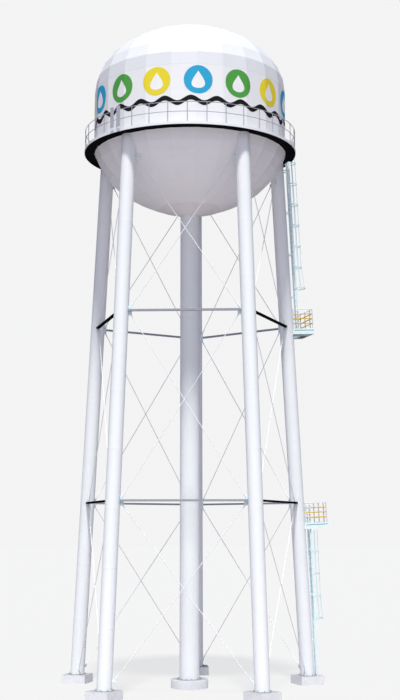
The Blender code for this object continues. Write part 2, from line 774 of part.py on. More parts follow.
def main():
    """Build the tower."""
    clear_scene()
    tower = collection("water_tower")
    helpers = collection("helpers")
    steel = material("white_steel", (0.86, 0.87, 0.92), 0.45, 0.0)
    concrete = material("pad_concrete", (0.75, 0.75, 0.80), 0.85, 0.0)
    pale_blue = material("pale_blue_paint", (0.70, 0.84, 0.88), 0.45, 0.0)
    grey = material("grey_panel", (0.55, 0.55, 0.62), 0.50, 0.0)
    rooms = leg_rooms(helpers)
    footings(tower, concrete)
    legs(tower, steel, tank_room(helpers))
    struts(tower, steel, rooms)
    tie_rods(tower, steel, rooms, helpers)
    tank(tower, steel)
    balcony_deck(tower, steel, wall_room(helpers), helpers)
    balcony_railing(tower, steel, helpers)
    for flight in ("lower", "middle", "upper"):
        ladder(tower, pale_blue, flight, rooms, helpers)
    for flight in CAGES:
        cage(tower, pale_blue, flight, helpers)
    for level in PLATFORM_DECK_Z:
        platform(tower, pale_blue, level, rooms, helpers)
        platform_guard(tower, pale_blue, level, helpers)
    rail_panels(tower, grey, helpers)


main()
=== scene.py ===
"""Elevated steel water tank on five leaning legs: its finishes and fine shapes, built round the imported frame.

Everything is in metres with +Z up, and the origin is on the ground under the riser pipe. A place on the tower
is given by its turn: 0 degrees is the front, which faces -Y, and 90 degrees is the +X side.
"""

import json
import logging
import math
from dataclasses import dataclass, field
from enum import Enum
from typing import Callable, Iterable, Sequence

import bmesh
import bpy
import numpy as np
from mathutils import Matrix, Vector

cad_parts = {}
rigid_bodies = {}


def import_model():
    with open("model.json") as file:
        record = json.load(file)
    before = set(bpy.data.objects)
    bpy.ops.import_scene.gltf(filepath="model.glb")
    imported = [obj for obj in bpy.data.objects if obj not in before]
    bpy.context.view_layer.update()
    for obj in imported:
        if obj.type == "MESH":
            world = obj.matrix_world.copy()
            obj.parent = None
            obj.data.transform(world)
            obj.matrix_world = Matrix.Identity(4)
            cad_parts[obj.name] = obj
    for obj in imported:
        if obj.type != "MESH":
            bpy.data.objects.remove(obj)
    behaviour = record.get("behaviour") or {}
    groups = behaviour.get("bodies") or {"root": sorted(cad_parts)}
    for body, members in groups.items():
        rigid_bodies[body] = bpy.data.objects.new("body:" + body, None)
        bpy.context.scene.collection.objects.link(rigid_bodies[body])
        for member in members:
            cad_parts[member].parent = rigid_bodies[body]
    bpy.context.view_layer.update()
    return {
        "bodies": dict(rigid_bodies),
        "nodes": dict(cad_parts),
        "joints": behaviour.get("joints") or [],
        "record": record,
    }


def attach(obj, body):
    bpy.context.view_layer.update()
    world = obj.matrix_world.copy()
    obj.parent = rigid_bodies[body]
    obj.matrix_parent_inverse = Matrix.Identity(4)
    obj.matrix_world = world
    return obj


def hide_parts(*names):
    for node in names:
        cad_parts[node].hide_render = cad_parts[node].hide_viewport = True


log = logging.getLogger("water_tower")

Colour = tuple[float, float, float]
Point = tuple[float, float, float]
Socket = bpy.types.NodeSocket

BODY = "root"
FULL_TURN = 2.0 * math.pi
UP = np.array((0.0, 0.0, 1.0))

# Touching pieces keep this gap
SEAT = 0.0003
# Points nearer to each other than this are one
MERGE_DISTANCE = 1e-5
# A bar is upright when it rises by at least this share of its length
UPRIGHT_SHARE = 0.9


class Leg(Enum):
    """The five legs, named as they stand round the tower."""

    FRONT_LEFT = "front_left"
    FRONT_RIGHT = "front_right"
    RIGHT = "right"
    BACK = "back"
    LEFT = "left"


class Face(Enum):
    """The five braced faces, each between two neighbouring legs."""

    FRONT = "front"
    RIGHT = "right"
    BACK_RIGHT = "back_right"
    BACK_LEFT = "back_left"
    LEFT = "left"


class Level(Enum):
    """The two levels of the struts and of the rest platforms."""

    LOWER = "lower"
    UPPER = "upper"


class Sector(Enum):
    """The four stretches of the hand rail."""

    BACK_RIGHT = "back_right"
    BACK_LEFT = "back_left"
    FRONT_LEFT = "front_left"
    FRONT_RIGHT = "front_right"


class Slot(Enum):
    """The record's material slots."""

    WHITE = "white_paint"
    TANK = "tank_paint"
    DARK = "dark_paint"
    PALE_BLUE = "pale_blue_paint"
    GUARD = "guard_paint"
    CONCRETE = "concrete"


class Flight(Enum):
    """The three flights of the ladder."""

    LOWER = "lower"
    MIDDLE = "middle"
    UPPER = "upper"


# The tank's rim and the legs' lean, which every other piece is set out from
RIM_Z = 28.76
LEG_TURNS = {
    Leg.FRONT_LEFT: -36.0,
    Leg.FRONT_RIGHT: 36.0,
    Leg.RIGHT: 108.0,
    Leg.BACK: 180.0,
    Leg.LEFT: -108.0,
}
LEG_REACH = 6.574
LEG_LEAN = 0.0536
LEG_RADIUS = 0.38
PAD_HEIGHT = 0.45
LADDER_LEG = Leg.RIGHT
# The decks of the ladder's two rest platforms
DECK_Z = {Level.LOWER: 8.434, Level.UPPER: 19.129}
FACES = {
    Face.FRONT: (Leg.FRONT_LEFT, Leg.FRONT_RIGHT),
    Face.RIGHT: (Leg.FRONT_RIGHT, Leg.RIGHT),
    Face.BACK_RIGHT: (Leg.RIGHT, Leg.BACK),
    Face.BACK_LEFT: (Leg.BACK, Leg.LEFT),
    Face.LEFT: (Leg.LEFT, Leg.FRONT_LEFT),
}


# Directions and frames on the tower


def outward(turn: float) -> np.ndarray:
    """Return the level direction that points away from the tower's axis at a turn in degrees."""
    angle = math.radians(turn)
    return np.array((math.sin(angle), -math.cos(angle), 0.0))


def sideways(turn: float) -> np.ndarray:
    """Return the level direction along the tower's circle at a turn, towards larger turns."""
    angle = math.radians(turn)
    return np.array((math.cos(angle), math.sin(angle), 0.0))


def unit(vector: np.ndarray) -> np.ndarray:
    """Return vectors scaled to length one."""
    return vector / np.linalg.norm(vector, axis=-1, keepdims=True)


def leg_centre(leg: Leg, z: float) -> np.ndarray:
    """Return the centre of a leg at a height."""
    return outward(LEG_TURNS[leg]) * (LEG_REACH - LEG_LEAN * z) + UP * z


@dataclass(frozen=True)
class Frame:
    """A set of local axes and their origin."""

    x: np.ndarray
    y: np.ndarray
    z: np.ndarray
    origin: np.ndarray

    def place(self, points: Sequence) -> np.ndarray:
        """Return local points in the tower's frame: origin + x, y and z along the axes."""
        return self.origin + np.asarray(points, float) @ np.array((self.x, self.y, self.z))


# The tower's own axes
HOME = Frame(*np.eye(3), np.zeros(3))


def leg_frame(leg: Leg, z: float) -> Frame:
    """Work out a leg's own frame at a height.

    Args:
        leg: the leg.
        z: the height of the frame's origin, on the leg's centre line.

    Returns:
        The frame: x away from the tower, y sideways and z up along the leg.
    """
    turn = LEG_TURNS[leg]
    along = unit(UP - outward(turn) * LEG_LEAN)
    side = sideways(turn)
    return Frame(np.cross(side, along), side, along, leg_centre(leg, z))


def face_frame(face: Face, z: float) -> tuple[Frame, float]:
    """Work out one face's own frame at a height.

    Args:
        face: the face.
        z: the height of the frame's origin, midway between the two legs.

    Returns:
        The frame, x along the face and y inwards, and the distance between the legs' centres.
    """
    first, last = FACES[face]
    start, end = leg_centre(first, z), leg_centre(last, z)
    above = leg_centre(first, z + 1.0) + leg_centre(last, z + 1.0)
    along = unit(end - start)
    rise = unit(above - start - end)
    return Frame(along, np.cross(rise, along), rise, (start + end) / 2), float(np.linalg.norm(end - start))


# Shapes worked out as grids


@dataclass
class Shape:
    """Points and faces gathered for one mesh."""

    points: list = field(default_factory=list)
    faces: list = field(default_factory=list)
    count: int = 0

    def add(self, points: np.ndarray, faces: Iterable[np.ndarray]) -> "Shape":
        """Add points and their faces.

        Args:
            points: the points, in an array of any shape that ends in 3.
            faces: blocks of faces with equal numbers of corners, which count these points from zero.

        Returns:
            The shape itself.
        """
        flat = points.reshape(-1, 3)
        self.points.append(flat)
        self.faces += [np.asarray(block, int) + self.count for block in faces]
        self.count += len(flat)
        return self

    def loft(self, rings: np.ndarray, closed: bool = False, caps: bool = True) -> "Shape":
        """Add a skin over rings of points, each ring closed on itself.

        Args:
            rings: points as (rings, points in a ring, 3); ring r and point p are the grid's two parameters.
            closed: whether the last ring joins the first.
            caps: whether the two end rings are filled.

        Returns:
            The shape itself.
        """
        rows, cols = rings.shape[:2]
        r = np.arange(rows if closed else rows - 1)[:, None]
        c = np.arange(cols)[None, :]
        after, beside = (r + 1) % rows, (c + 1) % cols
        quads = np.stack((r * cols + c, r * cols + beside, after * cols + beside, after * cols + c), axis=-1)
        faces = [quads.reshape(-1, 4)]
        if caps and not closed:
            faces += [np.arange(cols)[None, ::-1], (rows - 1) * cols + np.arange(cols)[None, :]]
        return self.add(rings, faces)

    def copies(
        self, template: "Shape", origins: np.ndarray, x: np.ndarray, y: np.ndarray, z: np.ndarray
    ) -> "Shape":
        """Add a template at many places: each copy's point is its origin plus x, y and z along its axes.

        Args:
            template: the shape to repeat, about its own origin.
            origins: one row for each place.
            x: the x axis, one for all places or one row for each.
            y: the y axis, likewise.
            z: the z axis, likewise.

        Returns:
            The shape itself.
        """
        local = np.concatenate(template.points)
        axes = np.stack([np.broadcast_to(axis, origins.shape) for axis in (x, y, z)], axis=1)
        placed = origins[:, None, :] + np.einsum("pk,nkc->npc", local, axes)
        steps = (np.arange(len(origins)) * len(local))[:, None, None]
        faces = [(block[None] + steps).reshape(-1, block.shape[1]) for block in template.faces]
        return self.add(placed, faces)


def circle(radius: float, sides: int) -> np.ndarray:
    """Return a round section: radius times the cosine and sine of evenly spaced angles."""
    angles = np.arange(sides) * FULL_TURN / sides
    return radius * np.stack((np.cos(angles), np.sin(angles)), axis=1)


def bar_section(width: float, depth: float, chamfer: float) -> np.ndarray:
    """Work out a rectangular section with its four corners cut back.

    Args:
        width: its size along u.
        depth: its size along v.
        chamfer: how far each corner is cut back.

    Returns:
        Its (u, v) points, anticlockwise: four of them, and the same four turned by half a turn.
    """
    a, b, c = width / 2, depth / 2, chamfer
    half = [(a, -b + c), (a, b - c), (a - c, b), (-a + c, b)]
    return np.array(half + [(-x, -y) for x, y in half])


def sweep(path: np.ndarray, section: np.ndarray, across: np.ndarray) -> np.ndarray:
    """Carry a section along a path.

    A ring's point is the path's point plus u times the side direction plus v times the direction square to
    both it and the path's tangent.

    Args:
        path: the points to follow.
        section: (u, v) points, anticlockwise.
        across: the direction that u keeps to, as near as the tangent allows.

    Returns:
        The rings, as (path points, section points, 3).
    """
    tangent = unit(np.gradient(path, axis=0))
    side = unit(across - np.sum(across * tangent, axis=1, keepdims=True) * tangent)
    normal = np.cross(tangent, side)
    return path[:, None] + section[None, :, :1] * side[:, None] + section[None, :, 1:] * normal[:, None]


def rod(start: np.ndarray, end: np.ndarray, radius: float, sides: int) -> np.ndarray:
    """Work out a straight round bar.

    Args:
        start: the middle of one end.
        end: the middle of the other end.
        radius: the bar's radius.
        sides: how many sides its section has.

    Returns:
        Its two rings.
    """
    rise = abs(unit(end - start)[2])
    hint = UP if rise < UPRIGHT_SHARE else np.array((1.0, 0.0, 0.0))
    return sweep(np.array((start, end)), circle(radius, sides), hint)


def box_rings(low: Sequence, high: Sequence, chamfer: float, frame: Frame) -> np.ndarray:
    """Work out a box with cut corners: its section along z, drawn in by the chamfer at each end.

    Args:
        low: its lowest corner.
        high: its highest corner.
        chamfer: how far its edges are cut back.
        frame: the frame that it lies in.

    Returns:
        Its four rings.
    """
    low, high = np.asarray(low, float), np.asarray(high, float)
    size, middle = high - low, (high + low) / 2
    inset = bar_section(size[0] - 2 * chamfer, size[1] - 2 * chamfer, chamfer / 2)
    full = bar_section(size[0], size[1], chamfer)
    levels = ((inset, low[2]), (full, low[2] + chamfer), (full, high[2] - chamfer), (inset, high[2]))
    rows = [np.column_stack((section + middle[:2], np.full(len(section), z))) for section, z in levels]
    return frame.place(np.array(rows))


def turned_rings(profile: Sequence, sides: int, frame: Frame) -> np.ndarray:
    """Work out a turned shape: each (radius, height) of a profile, carried round the frame's z.

    Args:
        profile: the (radius, height) pairs, along z.
        sides: how many sides the shape has.
        frame: the frame that it stands in.

    Returns:
        Its rings, one for each pair.
    """
    profile = np.asarray(profile, float)
    level = profile[:, None, :1] * circle(1.0, sides)[None]
    heights = np.repeat(profile[:, None, 1:], sides, axis=1)
    return frame.place(np.concatenate((level, heights), axis=2))


def hex_bolt(across: float, height: float) -> Shape:
    """Make a hexagonal bolt head that stands on its own origin.

    Args:
        across: its size over two opposite corners.
        height: how high it stands; the top fifth is chamfered.

    Returns:
        The head.
    """
    radius, rim = across / 2, height * 0.8
    profile = [(radius, 0.0), (radius, rim), (radius * 0.85, height)]
    return Shape().loft(turned_rings(profile, 6, HOME))


def arc_points(reach: float, turns: np.ndarray, z: float) -> np.ndarray:
    """Return points on a level circle round the tower: reach times (sin, -cos) of each turn."""
    angles = np.radians(turns)
    return np.stack((reach * np.sin(angles), -reach * np.cos(angles), np.full_like(angles, z)), axis=1)


# Node trees


class Graph:
    """A node tree under construction."""

    def __init__(self, tree: bpy.types.NodeTree) -> None:
        """Start on a tree."""
        self.tree = tree

    def node(self, kind: str, inputs: dict | None = None, **settings: object) -> bpy.types.Node:
        """Add a node.

        Args:
            kind: its type.
            inputs: for its inputs, by name or number, the values to set or the outputs to link.
            settings: its other settings, by name.

        Returns:
            The node.
        """
        made = self.tree.nodes.new(kind)
        for name, value in settings.items():
            setattr(made, name, value)
        for name, value in (inputs or {}).items():
            self.feed(made.inputs[name], value)
        return made

    def feed(self, target: Socket, value: object) -> None:
        """Link an input to an output, or set its value.

        Args:
            target: the input.
            value: an output, a value, or none to leave the input as it is.
        """
        if isinstance(value, Socket):
            self.tree.links.new(value, target)
        elif value is not None:
            target.default_value = value

    def math(self, operation: str, first: object, second: object = None) -> Socket:
        """Add a Math node and return its output."""
        return self.node("ShaderNodeMath", {0: first, 1: second}, operation=operation).outputs[0]

    def between(
        self, value: object, low: float, high: float, to: tuple[float, float] = (0.0, 1.0)
    ) -> Socket:
        """Return a value carried smoothly from one range to another, and held there."""
        names = {"Value": value, "From Min": low, "From Max": high, "To Min": to[0], "To Max": to[1]}
        return self.node("ShaderNodeMapRange", names, interpolation_type="SMOOTHSTEP").outputs["Result"]

    def mix(self, factor: object, first: object, second: object) -> Socket:
        """Mix two colours.

        Args:
            factor: the second one's share.
            first: the colour at 0.
            second: the colour at 1.

        Returns:
            The mixed colour.
        """
        made = self.node("ShaderNodeMix", data_type="RGBA")
        for socket, value in zip((made.inputs[0], made.inputs[6], made.inputs[7]), (factor, first, second)):
            self.feed(socket, value)
        return made.outputs[2]

    def noise(self, vector: object, scale: float, detail: float = 3.0, roughness: float = 0.5) -> Socket:
        """Return a noise value from 0 to 1."""
        names = {"Vector": vector, "Scale": scale, "Detail": detail, "Roughness": roughness}
        return self.node("ShaderNodeTexNoise", names).outputs[0]

    def stretched(self, scale: Point = (1.0, 1.0, 1.0)) -> Socket:
        """Return the object's coordinates, scaled along each axis."""
        place = self.node("ShaderNodeTexCoord").outputs["Object"]
        return self.node("ShaderNodeMapping", {"Vector": place, "Scale": scale}).outputs[0]

    def normal_z(self) -> Socket:
        """Return how far the surface faces up: 1 for a level top and -1 for a level underside."""
        normal = self.node("ShaderNodeNewGeometry").outputs["Normal"]
        return self.node("ShaderNodeSeparateXYZ", {0: normal}).outputs[2]


COLOUR_SOCKET = "NodeSocketColor"
VALUE_SOCKET = "NodeSocketFloat"
SURFACE = {"Colour": COLOUR_SOCKET, "Roughness": VALUE_SOCKET, "Height": VALUE_SOCKET}
MASK = {"Mask": VALUE_SOCKET}


def opaque(colour: Colour) -> tuple[float, float, float, float]:
    """Return a colour with full cover."""
    return (*colour, 1.0)


def new_group(
    name: str, inputs: dict[str, object], outputs: dict[str, str]
) -> tuple[Graph, dict[str, Socket], bpy.types.Node]:
    """Start a shader node group.

    Args:
        name: the group's name.
        inputs: each input's starting value; a tuple makes a colour and a number makes a value.
        outputs: each output's socket type.

    Returns:
        The group's graph, its inputs' sockets by name, and its output node.
    """
    tree = bpy.data.node_groups.new(name, "ShaderNodeTree")
    for key, value in inputs.items():
        kind = COLOUR_SOCKET if isinstance(value, tuple) else VALUE_SOCKET
        tree.interface.new_socket(key, in_out="INPUT", socket_type=kind).default_value = value
    for key, kind in outputs.items():
        tree.interface.new_socket(key, in_out="OUTPUT", socket_type=kind)
    entry, leave = tree.nodes.new("NodeGroupInput"), tree.nodes.new("NodeGroupOutput")
    return Graph(tree), {key: entry.outputs[key] for key in inputs}, leave


def weather_group() -> bpy.types.NodeTree:
    """Build outdoor paint: soft patches and runs down the surface towards a stain, and a fine rolled texture.

    Returns:
        The node group.
    """
    start = {"Colour": opaque((0.8, 0.8, 0.8)), "Stain": opaque((0.5, 0.5, 0.5))}
    start |= {"Patches": 0.1, "Runs": 0.1, "Gloss": 0.4}
    graph, given, leave = new_group("outdoor_paint", start, SURFACE)
    cloud = graph.noise(graph.stretched(), scale=0.45, detail=5.0, roughness=0.6)
    patches = graph.between(cloud, low=0.40, high=0.72)
    streak = graph.noise(graph.stretched((2.4, 2.4, 0.10)), scale=1.6, detail=6.0, roughness=0.6)
    runs = graph.between(streak, low=0.50, high=0.76)
    patched = graph.math("MULTIPLY", patches, given["Patches"])
    streaked = graph.math("MULTIPLY", runs, given["Runs"])
    stained = graph.math("ADD", patched, streaked)
    graph.feed(leave.inputs["Colour"], graph.mix(stained, given["Colour"], given["Stain"]))
    chalked = graph.math("MULTIPLY", patches, 0.12)
    graph.feed(leave.inputs["Roughness"], graph.math("ADD", given["Gloss"], chalked))
    graph.feed(leave.inputs["Height"], graph.noise(graph.stretched(), scale=38.0))
    return graph.tree


def seam_group() -> bpy.types.NodeTree:
    """Build welded plate seams: level rings at even heights, and uprights at a many-sided shell's corners.

    The mask falls from 1 on a seam to 0 at half its width. A point's distance from the nearest ring is its
    height past the ring, and from the nearest upright the arc to it, its radius times the angle.

    Returns:
        The node group.
    """
    start = {"Course": 1.7, "First": 0.0, "Sides": 24.0, "Half width": 0.02}
    graph, given, leave = new_group("plate_seams", start, MASK)
    place = graph.node("ShaderNodeTexCoord").outputs["Object"]
    x, y, z = graph.node("ShaderNodeSeparateXYZ", {0: place}).outputs
    square = graph.math("ADD", graph.math("MULTIPLY", x, x), graph.math("MULTIPLY", y, y))
    radius = graph.math("SQRT", square)
    courses = graph.math("DIVIDE", graph.math("SUBTRACT", z, given["First"]), given["Course"])
    level = graph.math("MULTIPLY", graph.math("PINGPONG", courses, 0.5), given["Course"])
    turns = graph.math("DIVIDE", graph.math("ARCTAN2", y, x), FULL_TURN)
    facets = graph.math("MULTIPLY", turns, given["Sides"])
    corner = graph.math("PINGPONG", graph.math("ADD", facets, 0.5), 0.5)
    round_the_shell = graph.math("MULTIPLY", graph.math("MULTIPLY", corner, radius), FULL_TURN)
    upright = graph.math("DIVIDE", round_the_shell, given["Sides"])
    nearest = graph.math("MINIMUM", level, upright)
    beyond = graph.math("DIVIDE", nearest, given["Half width"])
    graph.feed(leave.inputs["Mask"], graph.math("SUBTRACT", 1.0, beyond))
    leave.inputs["Mask"].links[0].from_node.use_clamp = True
    return graph.tree


def shade_below_group() -> bpy.types.NodeTree:
    """Build a mask of the faces that look down, for painted shade.

    Returns:
        The node group.
    """
    graph, given, leave = new_group("painted_shade_faces_down", {"Limit": -0.6}, MASK)
    graph.feed(leave.inputs["Mask"], graph.math("LESS_THAN", graph.normal_z(), given["Limit"]))
    return graph.tree


def concrete_group() -> bpy.types.NodeTree:
    """Build cast concrete: cloudy patches, small air holes, and tops darkened as painted shade.

    Returns:
        The node group.
    """
    start = {"Colour": (0.7, 0.7, 0.72), "Stain": (0.45, 0.45, 0.44), "Top": (0.4, 0.4, 0.4)}
    start = {key: opaque(colour) for key, colour in start.items()}
    graph, given, leave = new_group("cast_concrete", start, SURFACE)
    place = graph.stretched()
    cloud = graph.noise(place, scale=2.2, detail=6.0, roughness=0.65)
    clouds = graph.between(cloud, low=0.35, high=0.75)
    holes = graph.node("ShaderNodeTexVoronoi", {"Vector": place, "Scale": 26.0}).outputs["Distance"]
    hole_mask = graph.between(holes, low=0.05, high=0.16, to=(1.0, 0.0))
    grain = graph.noise(place, scale=90.0, detail=4.0)
    cloudy, pitted = graph.math("MULTIPLY", clouds, 0.45), graph.math("MULTIPLY", hole_mask, 0.25)
    amount = graph.math("ADD", cloudy, pitted)
    # Painted shade: the faces that look up take the darker top colour, with the cloudy patches on it.
    top_shade_mask = graph.between(graph.normal_z(), low=0.6, high=0.95)
    cast = graph.mix(amount, given["Colour"], given["Stain"])
    patchy_shaded_top = graph.mix(graph.math("MULTIPLY", amount, 0.7), given["Top"], given["Stain"])
    graph.feed(leave.inputs["Colour"], graph.mix(top_shade_mask, cast, patchy_shaded_top))
    graph.feed(leave.inputs["Roughness"], graph.between(clouds, low=0.0, high=1.0, to=(0.92, 0.78)))
    height = graph.math("SUBTRACT", graph.math("MULTIPLY", grain, 0.5), hole_mask)
    graph.feed(leave.inputs["Height"], height)
    return graph.tree


@dataclass
class EffectLibrary:
    """The node groups, each built when it is first asked for."""

    made: dict = field(default_factory=dict)

    def get(self, build: Callable[[], bpy.types.NodeTree]) -> bpy.types.NodeTree:
        """Find a node group, and build it the first time.

        Args:
            build: the function that builds it.

        Returns:
            The node group.
        """
        if build.__name__ not in self.made:
            self.made[build.__name__] = build()
        return self.made[build.__name__]


EFFECTS = EffectLibrary()


@dataclass(frozen=True)
class Paint:
    """Outdoor steel paint.

    Attributes:
        name: the material's name.
        colour: the clean paint.
        stain: what its patches and runs tend to.
        patches: how strong the soft patches are.
        runs: how strong the runs down the surface are.
        gloss: the clean paint's roughness.
        seam_course: the height of one course of plates, or none for plain steel.
        seam_first: the height of one of the level seams.
        below: the painted shade on the faces that look down, or none where they are like the rest.
        shine: how strongly the paint mirrors its surroundings.
        texture: how deep the rolled texture is, in metres.
        seam_stain: how strongly a seam takes the stain.
        seam_height: how far a seam stands proud, in metres.
        bump: how strongly the texture and the seams turn the light.
        coat_share: how strong its clear coat is, as a share of the shine.
        coat_roughness: the clear coat's roughness.
    """

    name: str
    colour: Colour
    stain: Colour
    patches: float = 0.10
    runs: float = 0.14
    gloss: float = 0.42
    seam_course: float = 0.0
    seam_first: float = 0.0
    below: Colour | None = None
    shine: float = 0.35
    texture: float = 0.0015
    seam_stain: float = 0.10
    seam_height: float = 0.004
    bump: float = 0.6
    coat_share: float = 0.25
    coat_roughness: float = 0.3

    def material(self) -> bpy.types.Material:
        """Build the paint's material, or find it where it is built already.

        Returns:
            The material.
        """
        found = bpy.data.materials.get(self.name)
        if found:
            return found
        made = bpy.data.materials.new(self.name)
        made.use_nodes = True
        graph = Graph(made.node_tree)
        shader = made.node_tree.nodes["Principled BSDF"]
        values = {"Colour": opaque(self.colour), "Stain": opaque(self.stain)}
        values |= {"Patches": self.patches, "Runs": self.runs, "Gloss": self.gloss}
        weather = graph.node("ShaderNodeGroup", node_tree=EFFECTS.get(weather_group))
        for key, value in values.items():
            weather.inputs[key].default_value = value
        colour = weather.outputs["Colour"]
        height = graph.math("MULTIPLY", weather.outputs["Height"], self.texture)
        if self.seam_course:
            seams = graph.node("ShaderNodeGroup", node_tree=EFFECTS.get(seam_group))
            seams.inputs["Course"].default_value = self.seam_course
            seams.inputs["First"].default_value = self.seam_first
            mask = seams.outputs["Mask"]
            colour = graph.mix(graph.math("MULTIPLY", mask, self.seam_stain), colour, opaque(self.stain))
            height = graph.math("ADD", height, graph.math("MULTIPLY", mask, self.seam_height))
        # Painted shade: the faces that look down take the below colour.
        if self.below:
            down = graph.node("ShaderNodeGroup", node_tree=EFFECTS.get(shade_below_group)).outputs["Mask"]
            colour = graph.mix(down, colour, opaque(self.below))
        graph.feed(shader.inputs["Base Color"], colour)
        graph.feed(shader.inputs["Roughness"], weather.outputs["Roughness"])
        bump = graph.node("ShaderNodeBump", {"Height": height, "Strength": self.bump, "Distance": 1.0})
        graph.feed(shader.inputs["Normal"], bump.outputs[0])
        shader.inputs["Specular IOR Level"].default_value = self.shine
        shader.inputs["Coat Weight"].default_value = self.shine * self.coat_share
        shader.inputs["Coat Roughness"].default_value = self.coat_roughness
        return made


@dataclass(frozen=True)
class Concrete:
    """Cast concrete.

    Attributes:
        name: the material's name.
        colour: the clean concrete.
        stain: what its cloudy patches tend to.
        top: the colour of the faces that look up, darkened as painted shade.
        relief: how deep the grain and the air holes are, in metres.
        bump: how strongly they turn the light.
    """

    name: str
    colour: Colour
    stain: Colour
    top: Colour
    relief: float = 0.004
    bump: float = 0.7

    def material(self) -> bpy.types.Material:
        """Build the concrete's material, or find it where it is built already.

        Returns:
            The material.
        """
        found = bpy.data.materials.get(self.name)
        if found:
            return found
        made = bpy.data.materials.new(self.name)
        made.use_nodes = True
        graph = Graph(made.node_tree)
        shader = made.node_tree.nodes["Principled BSDF"]
        cast = graph.node("ShaderNodeGroup", node_tree=EFFECTS.get(concrete_group))
        for key, colour in (("Colour", self.colour), ("Stain", self.stain), ("Top", self.top)):
            cast.inputs[key].default_value = opaque(colour)
        graph.feed(shader.inputs["Base Color"], cast.outputs["Colour"])
        graph.feed(shader.inputs["Roughness"], cast.outputs["Roughness"])
        height = graph.math("MULTIPLY", cast.outputs["Height"], self.relief)
        bump = graph.node("ShaderNodeBump", {"Height": height, "Strength": self.bump, "Distance": 1.0})
        graph.feed(shader.inputs["Normal"], bump.outputs[0])
        return made


WHITE = Paint("white_steel_paint", (0.81, 0.84, 0.86), (0.60, 0.62, 0.67))
TANK = Paint("white_tank_paint", (0.84, 0.845, 0.865), (0.64, 0.64, 0.68), 0.12, 0.10, 0.40, 1.705, RIM_Z)
# Black as painted shade: the sheet under the balcony and the struts of the left and right faces.
SHADE_BLACK = Paint("painted_shade_black", (0.006, 0.006, 0.007), (0.02, 0.02, 0.022), 0.15, 0.10, 0.80, shine=0.0)
PALE_BLUE = Paint("pale_blue_steel_paint", (0.70, 0.87, 0.90), (0.42, 0.58, 0.66), 0.16, 0.20)
# Its faces that look down are near black: painted shade.
DECKING = Paint(
    "pale_blue_platform_paint", (0.74, 0.90, 0.91), (0.46, 0.62, 0.68), 0.12, 0.12, below=(0.10, 0.10, 0.11)
)
# Dark teal for the line of painted shade in the gap under each platform's toe board.
GAP_SHADE = Paint("painted_shade_teal_gap", (0.10, 0.19, 0.20), (0.06, 0.10, 0.11), 0.2, 0.1, 0.6)
LAVENDER = Paint("pale_lavender_steel_paint", (0.66, 0.67, 0.78), (0.46, 0.47, 0.55))
ROD = Paint("white_rod_paint", (0.80, 0.82, 0.86), (0.60, 0.61, 0.67), runs=0.0, texture=0.0)
GALVANISED = Paint("zinc_grey_bolts", (0.32, 0.33, 0.36), (0.22, 0.20, 0.19), 0.3, 0.2, 0.45, texture=0.0004)
STRUT = Paint("grey_strut_paint", (0.29, 0.30, 0.34), (0.26, 0.26, 0.31))
HAND_RAIL = Paint("grey_rail_paint", (0.34, 0.34, 0.39), (0.24, 0.24, 0.28))
ROOF = Paint("white_roof_paint", (0.68, 0.695, 0.73), (0.50, 0.50, 0.56), 0.12, 0.10, 0.40)
DISH = Paint("white_dish_paint", (0.80, 0.77, 0.78), (0.60, 0.57, 0.58), 0.12, 0.08)
YELLOW = Paint("yellow_guard_paint", (0.66, 0.44, 0.02), (0.55, 0.32, 0.06), 0.12, 0.12, 0.38)
GREY = Paint("grey_panel_paint", (0.42, 0.42, 0.50), (0.28, 0.28, 0.33), 0.20, 0.20, 0.45)
# The third colour is the painted shade on the pads' tops.
CONCRETE = Concrete("cast_pad_concrete", (0.73, 0.75, 0.78), (0.56, 0.57, 0.60), (0.30, 0.31, 0.335))
FRIEZE_BLACK = Paint(
    "frieze_black_paint", (0.008, 0.008, 0.009), (0.02, 0.02, 0.02), 0.08, 0.08, 0.6, shine=0.1
)
FRIEZE_WHITE = Paint("frieze_white_paint", (0.86, 0.86, 0.88), (0.66, 0.66, 0.68), 0.08, 0.08)
FRIEZE_YELLOW = Paint("frieze_yellow_paint", (0.80, 0.66, 0.02), (0.60, 0.50, 0.04), 0.08, 0.08)
FRIEZE_CYAN = Paint("frieze_cyan_paint", (0.01, 0.36, 0.62), (0.03, 0.26, 0.42), 0.08, 0.08)
FRIEZE_GREEN = Paint("frieze_green_paint", (0.07, 0.34, 0.05), (0.06, 0.24, 0.05), 0.08, 0.08)


def make_piece(
    name: str,
    shape: Shape,
    finish: Paint | Concrete,
    slot: Slot | None = None,
    replaces: Sequence[str] = (),
    sharp_angle: float = 35.0,
) -> bpy.types.Object:
    """Turn a shape into a piece of the tower.

    Args:
        name: the piece's name.
        shape: its points and faces.
        finish: its finish.
        slot: the record's slot that the finish belongs to; not used.
        replaces: the CAD nodes that it stands for.
        sharp_angle: edges sharper than this, in degrees, stay sharp.

    Returns:
        The piece, at the origin, riding on the tower's body.
    """
    mesh = bpy.data.meshes.new(name)
    points = np.concatenate(shape.points)
    loops = np.concatenate([block.ravel() for block in shape.faces])
    sizes = np.concatenate([np.full(len(block), block.shape[1]) for block in shape.faces])
    mesh.vertices.add(len(points))
    mesh.vertices.foreach_set("co", points.astype(np.float32).ravel())
    mesh.loops.add(len(loops))
    mesh.loops.foreach_set("vertex_index", loops.astype(np.int32))
    mesh.polygons.add(len(sizes))
    mesh.polygons.foreach_set("loop_start", np.concatenate(([0], np.cumsum(sizes)[:-1])).astype(np.int32))
    mesh.update(calc_edges=True)
    tidy = bmesh.new()
    tidy.from_mesh(mesh)
    bmesh.ops.remove_doubles(tidy, verts=tidy.verts, dist=MERGE_DISTANCE)
    bmesh.ops.recalc_face_normals(tidy, faces=tidy.faces)
    tidy.to_mesh(mesh)
    tidy.free()
    mesh.shade_smooth()
    mesh.set_sharp_from_angle(angle=math.radians(sharp_angle))
    mesh.materials.append(finish.material())
    made = bpy.data.objects.new(name, mesh)
    bpy.context.scene.collection.objects.link(made)
    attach(made, BODY)
    if replaces:
        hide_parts(*replaces)
    log.info("%s: %d faces", name, len(mesh.polygons))
    return made


